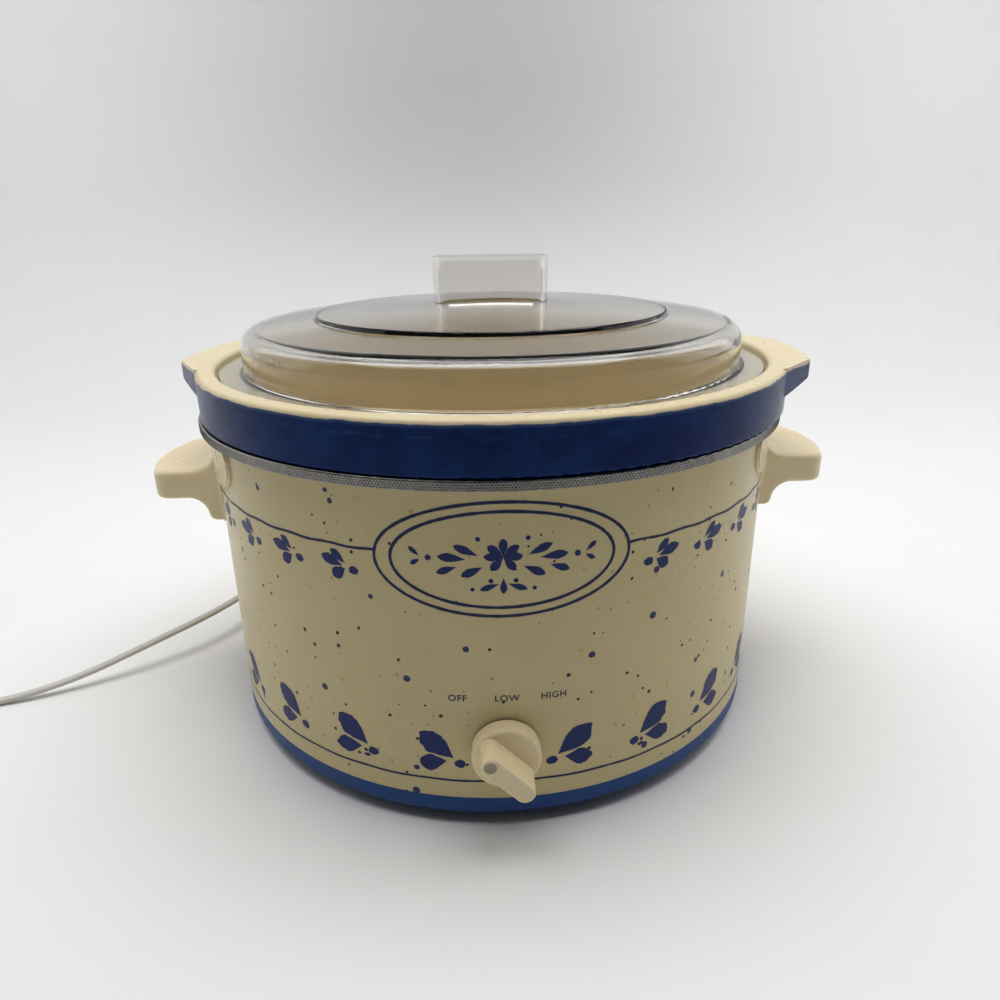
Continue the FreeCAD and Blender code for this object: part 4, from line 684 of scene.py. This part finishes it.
ripple = add(glaze, "TexNoise", Scale=1 / (11 * MM), Detail=2)
edge_level = add(glaze, "MapRange", From_Min=0.3, From_Max=0.7, To_Min=edge_low, To_Max=edge_high)
below_edge = add(glaze, "Math", {"operation": "SUBTRACT"})
dip = add(glaze, "MapRange", From_Min=-0.15 * MM, From_Max=0.25 * MM)
outside = add(glaze, "MapRange", From_Min=dipped_radius * MM, From_Max=(dipped_radius + 0.3) * MM)
dipped = add(glaze, "Math", {"operation": "MULTIPLY"})
blue_cloud = add(glaze, "TexNoise", Scale=1 / (17 * MM), Detail=5, Roughness=0.65)
blue_tone = add(glaze, "ValToRGB")
blue_tone.color_ramp.elements[0].position = 0.35
blue_tone.color_ramp.elements[0].color = (0.002, 0.014, 0.085, 1)
blue_tone.color_ramp.elements[1].position = 0.75
blue_tone.color_ramp.elements[1].color = (0.006, 0.036, 0.160, 1)
thin = add(glaze, "MapRange", From_Min=1.5 * MM, From_Max=0.2 * MM, To_Min=0, To_Max=0.55)
thinned = add(glaze, "Mix", {"data_type": "RGBA"})
thinned.inputs[7].default_value = (0.10, 0.16, 0.30, 1)
streak_level = add(glaze, "MapRange", From_Min=0.35, From_Max=0.65, To_Min=streak_low, To_Max=streak_high)
streak_gap = add(glaze, "Math", {"operation": "SUBTRACT"})
streak_size = add(glaze, "Math", {"operation": "ABSOLUTE"})
streak_core = add(glaze, "MapRange", From_Min=0.9 * MM, From_Max=0.1 * MM, To_Min=0, To_Max=1)
streak_patch = add(glaze, "TexNoise", Scale=1 / (9 * MM), Detail=4, Roughness=0.75)
streak_seen = add(glaze, "MapRange", From_Min=0.48, From_Max=0.72, To_Min=0, To_Max=0.32)
streak_fac = add(glaze, "Math", {"operation": "MULTIPLY"})
streaked = add(glaze, "Mix", {"data_type": "RGBA"})
streaked.inputs[7].default_value = (0.06, 0.15, 0.26, 1)
two_tone = add(glaze, "Mix", {"data_type": "RGBA"})
wire(glaze, (where, "Object", axes, "Vector"), (where, "Object", flat_only, 0), (flat_only, 0, from_axis, 0),
     (where, "Object", ripple, "Vector"), (ripple, "Fac", edge_level, "Value"),
     (edge_level, "Result", below_edge, 0), (axes, "Z", below_edge, 1), (below_edge, "Value", dip, "Value"),
     (from_axis, "Value", outside, "Value"), (dip, "Result", dipped, 0), (outside, "Result", dipped, 1),
     (where, "Object", blue_cloud, "Vector"), (blue_cloud, "Fac", blue_tone, "Fac"),
     (below_edge, "Value", thin, "Value"), (thin, "Result", thinned, "Factor"),
     (blue_tone, "Color", thinned, 6),
     (where, "Object", streak_patch, "Vector"), (ripple, "Fac", streak_level, "Value"),
     (axes, "Z", streak_gap, 0), (streak_level, "Result", streak_gap, 1),
     (streak_gap, "Value", streak_size, 0),
     (streak_size, "Value", streak_core, "Value"), (streak_patch, "Fac", streak_seen, "Value"),
     (streak_core, "Result", streak_fac, 0), (streak_seen, "Result", streak_fac, 1),
     (streak_fac, "Value", streaked, "Factor"), (thinned, 2, streaked, 6),
     (cream_glaze, 2, two_tone, 6), (streaked, 2, two_tone, 7), (dipped, "Value", two_tone, "Factor"),
     (two_tone, 2, shader_of(glaze), "Base Color"))
finish_node(glaze, "stoneware_crock")

# ---------------------------------------------------------------- lid
# One clear, faintly smoky plastic moulding with a hollow upright grip.
# It lies loose on the ledge inside the crock's rim.
lid_clear = new_finish("clear_plastic", Transmission_Weight=1, IOR=1.34, Roughness=0.05,
                       Base_Color=(0.87, 0.855, 0.83, 1))
finish_node(lid_clear, "lid")
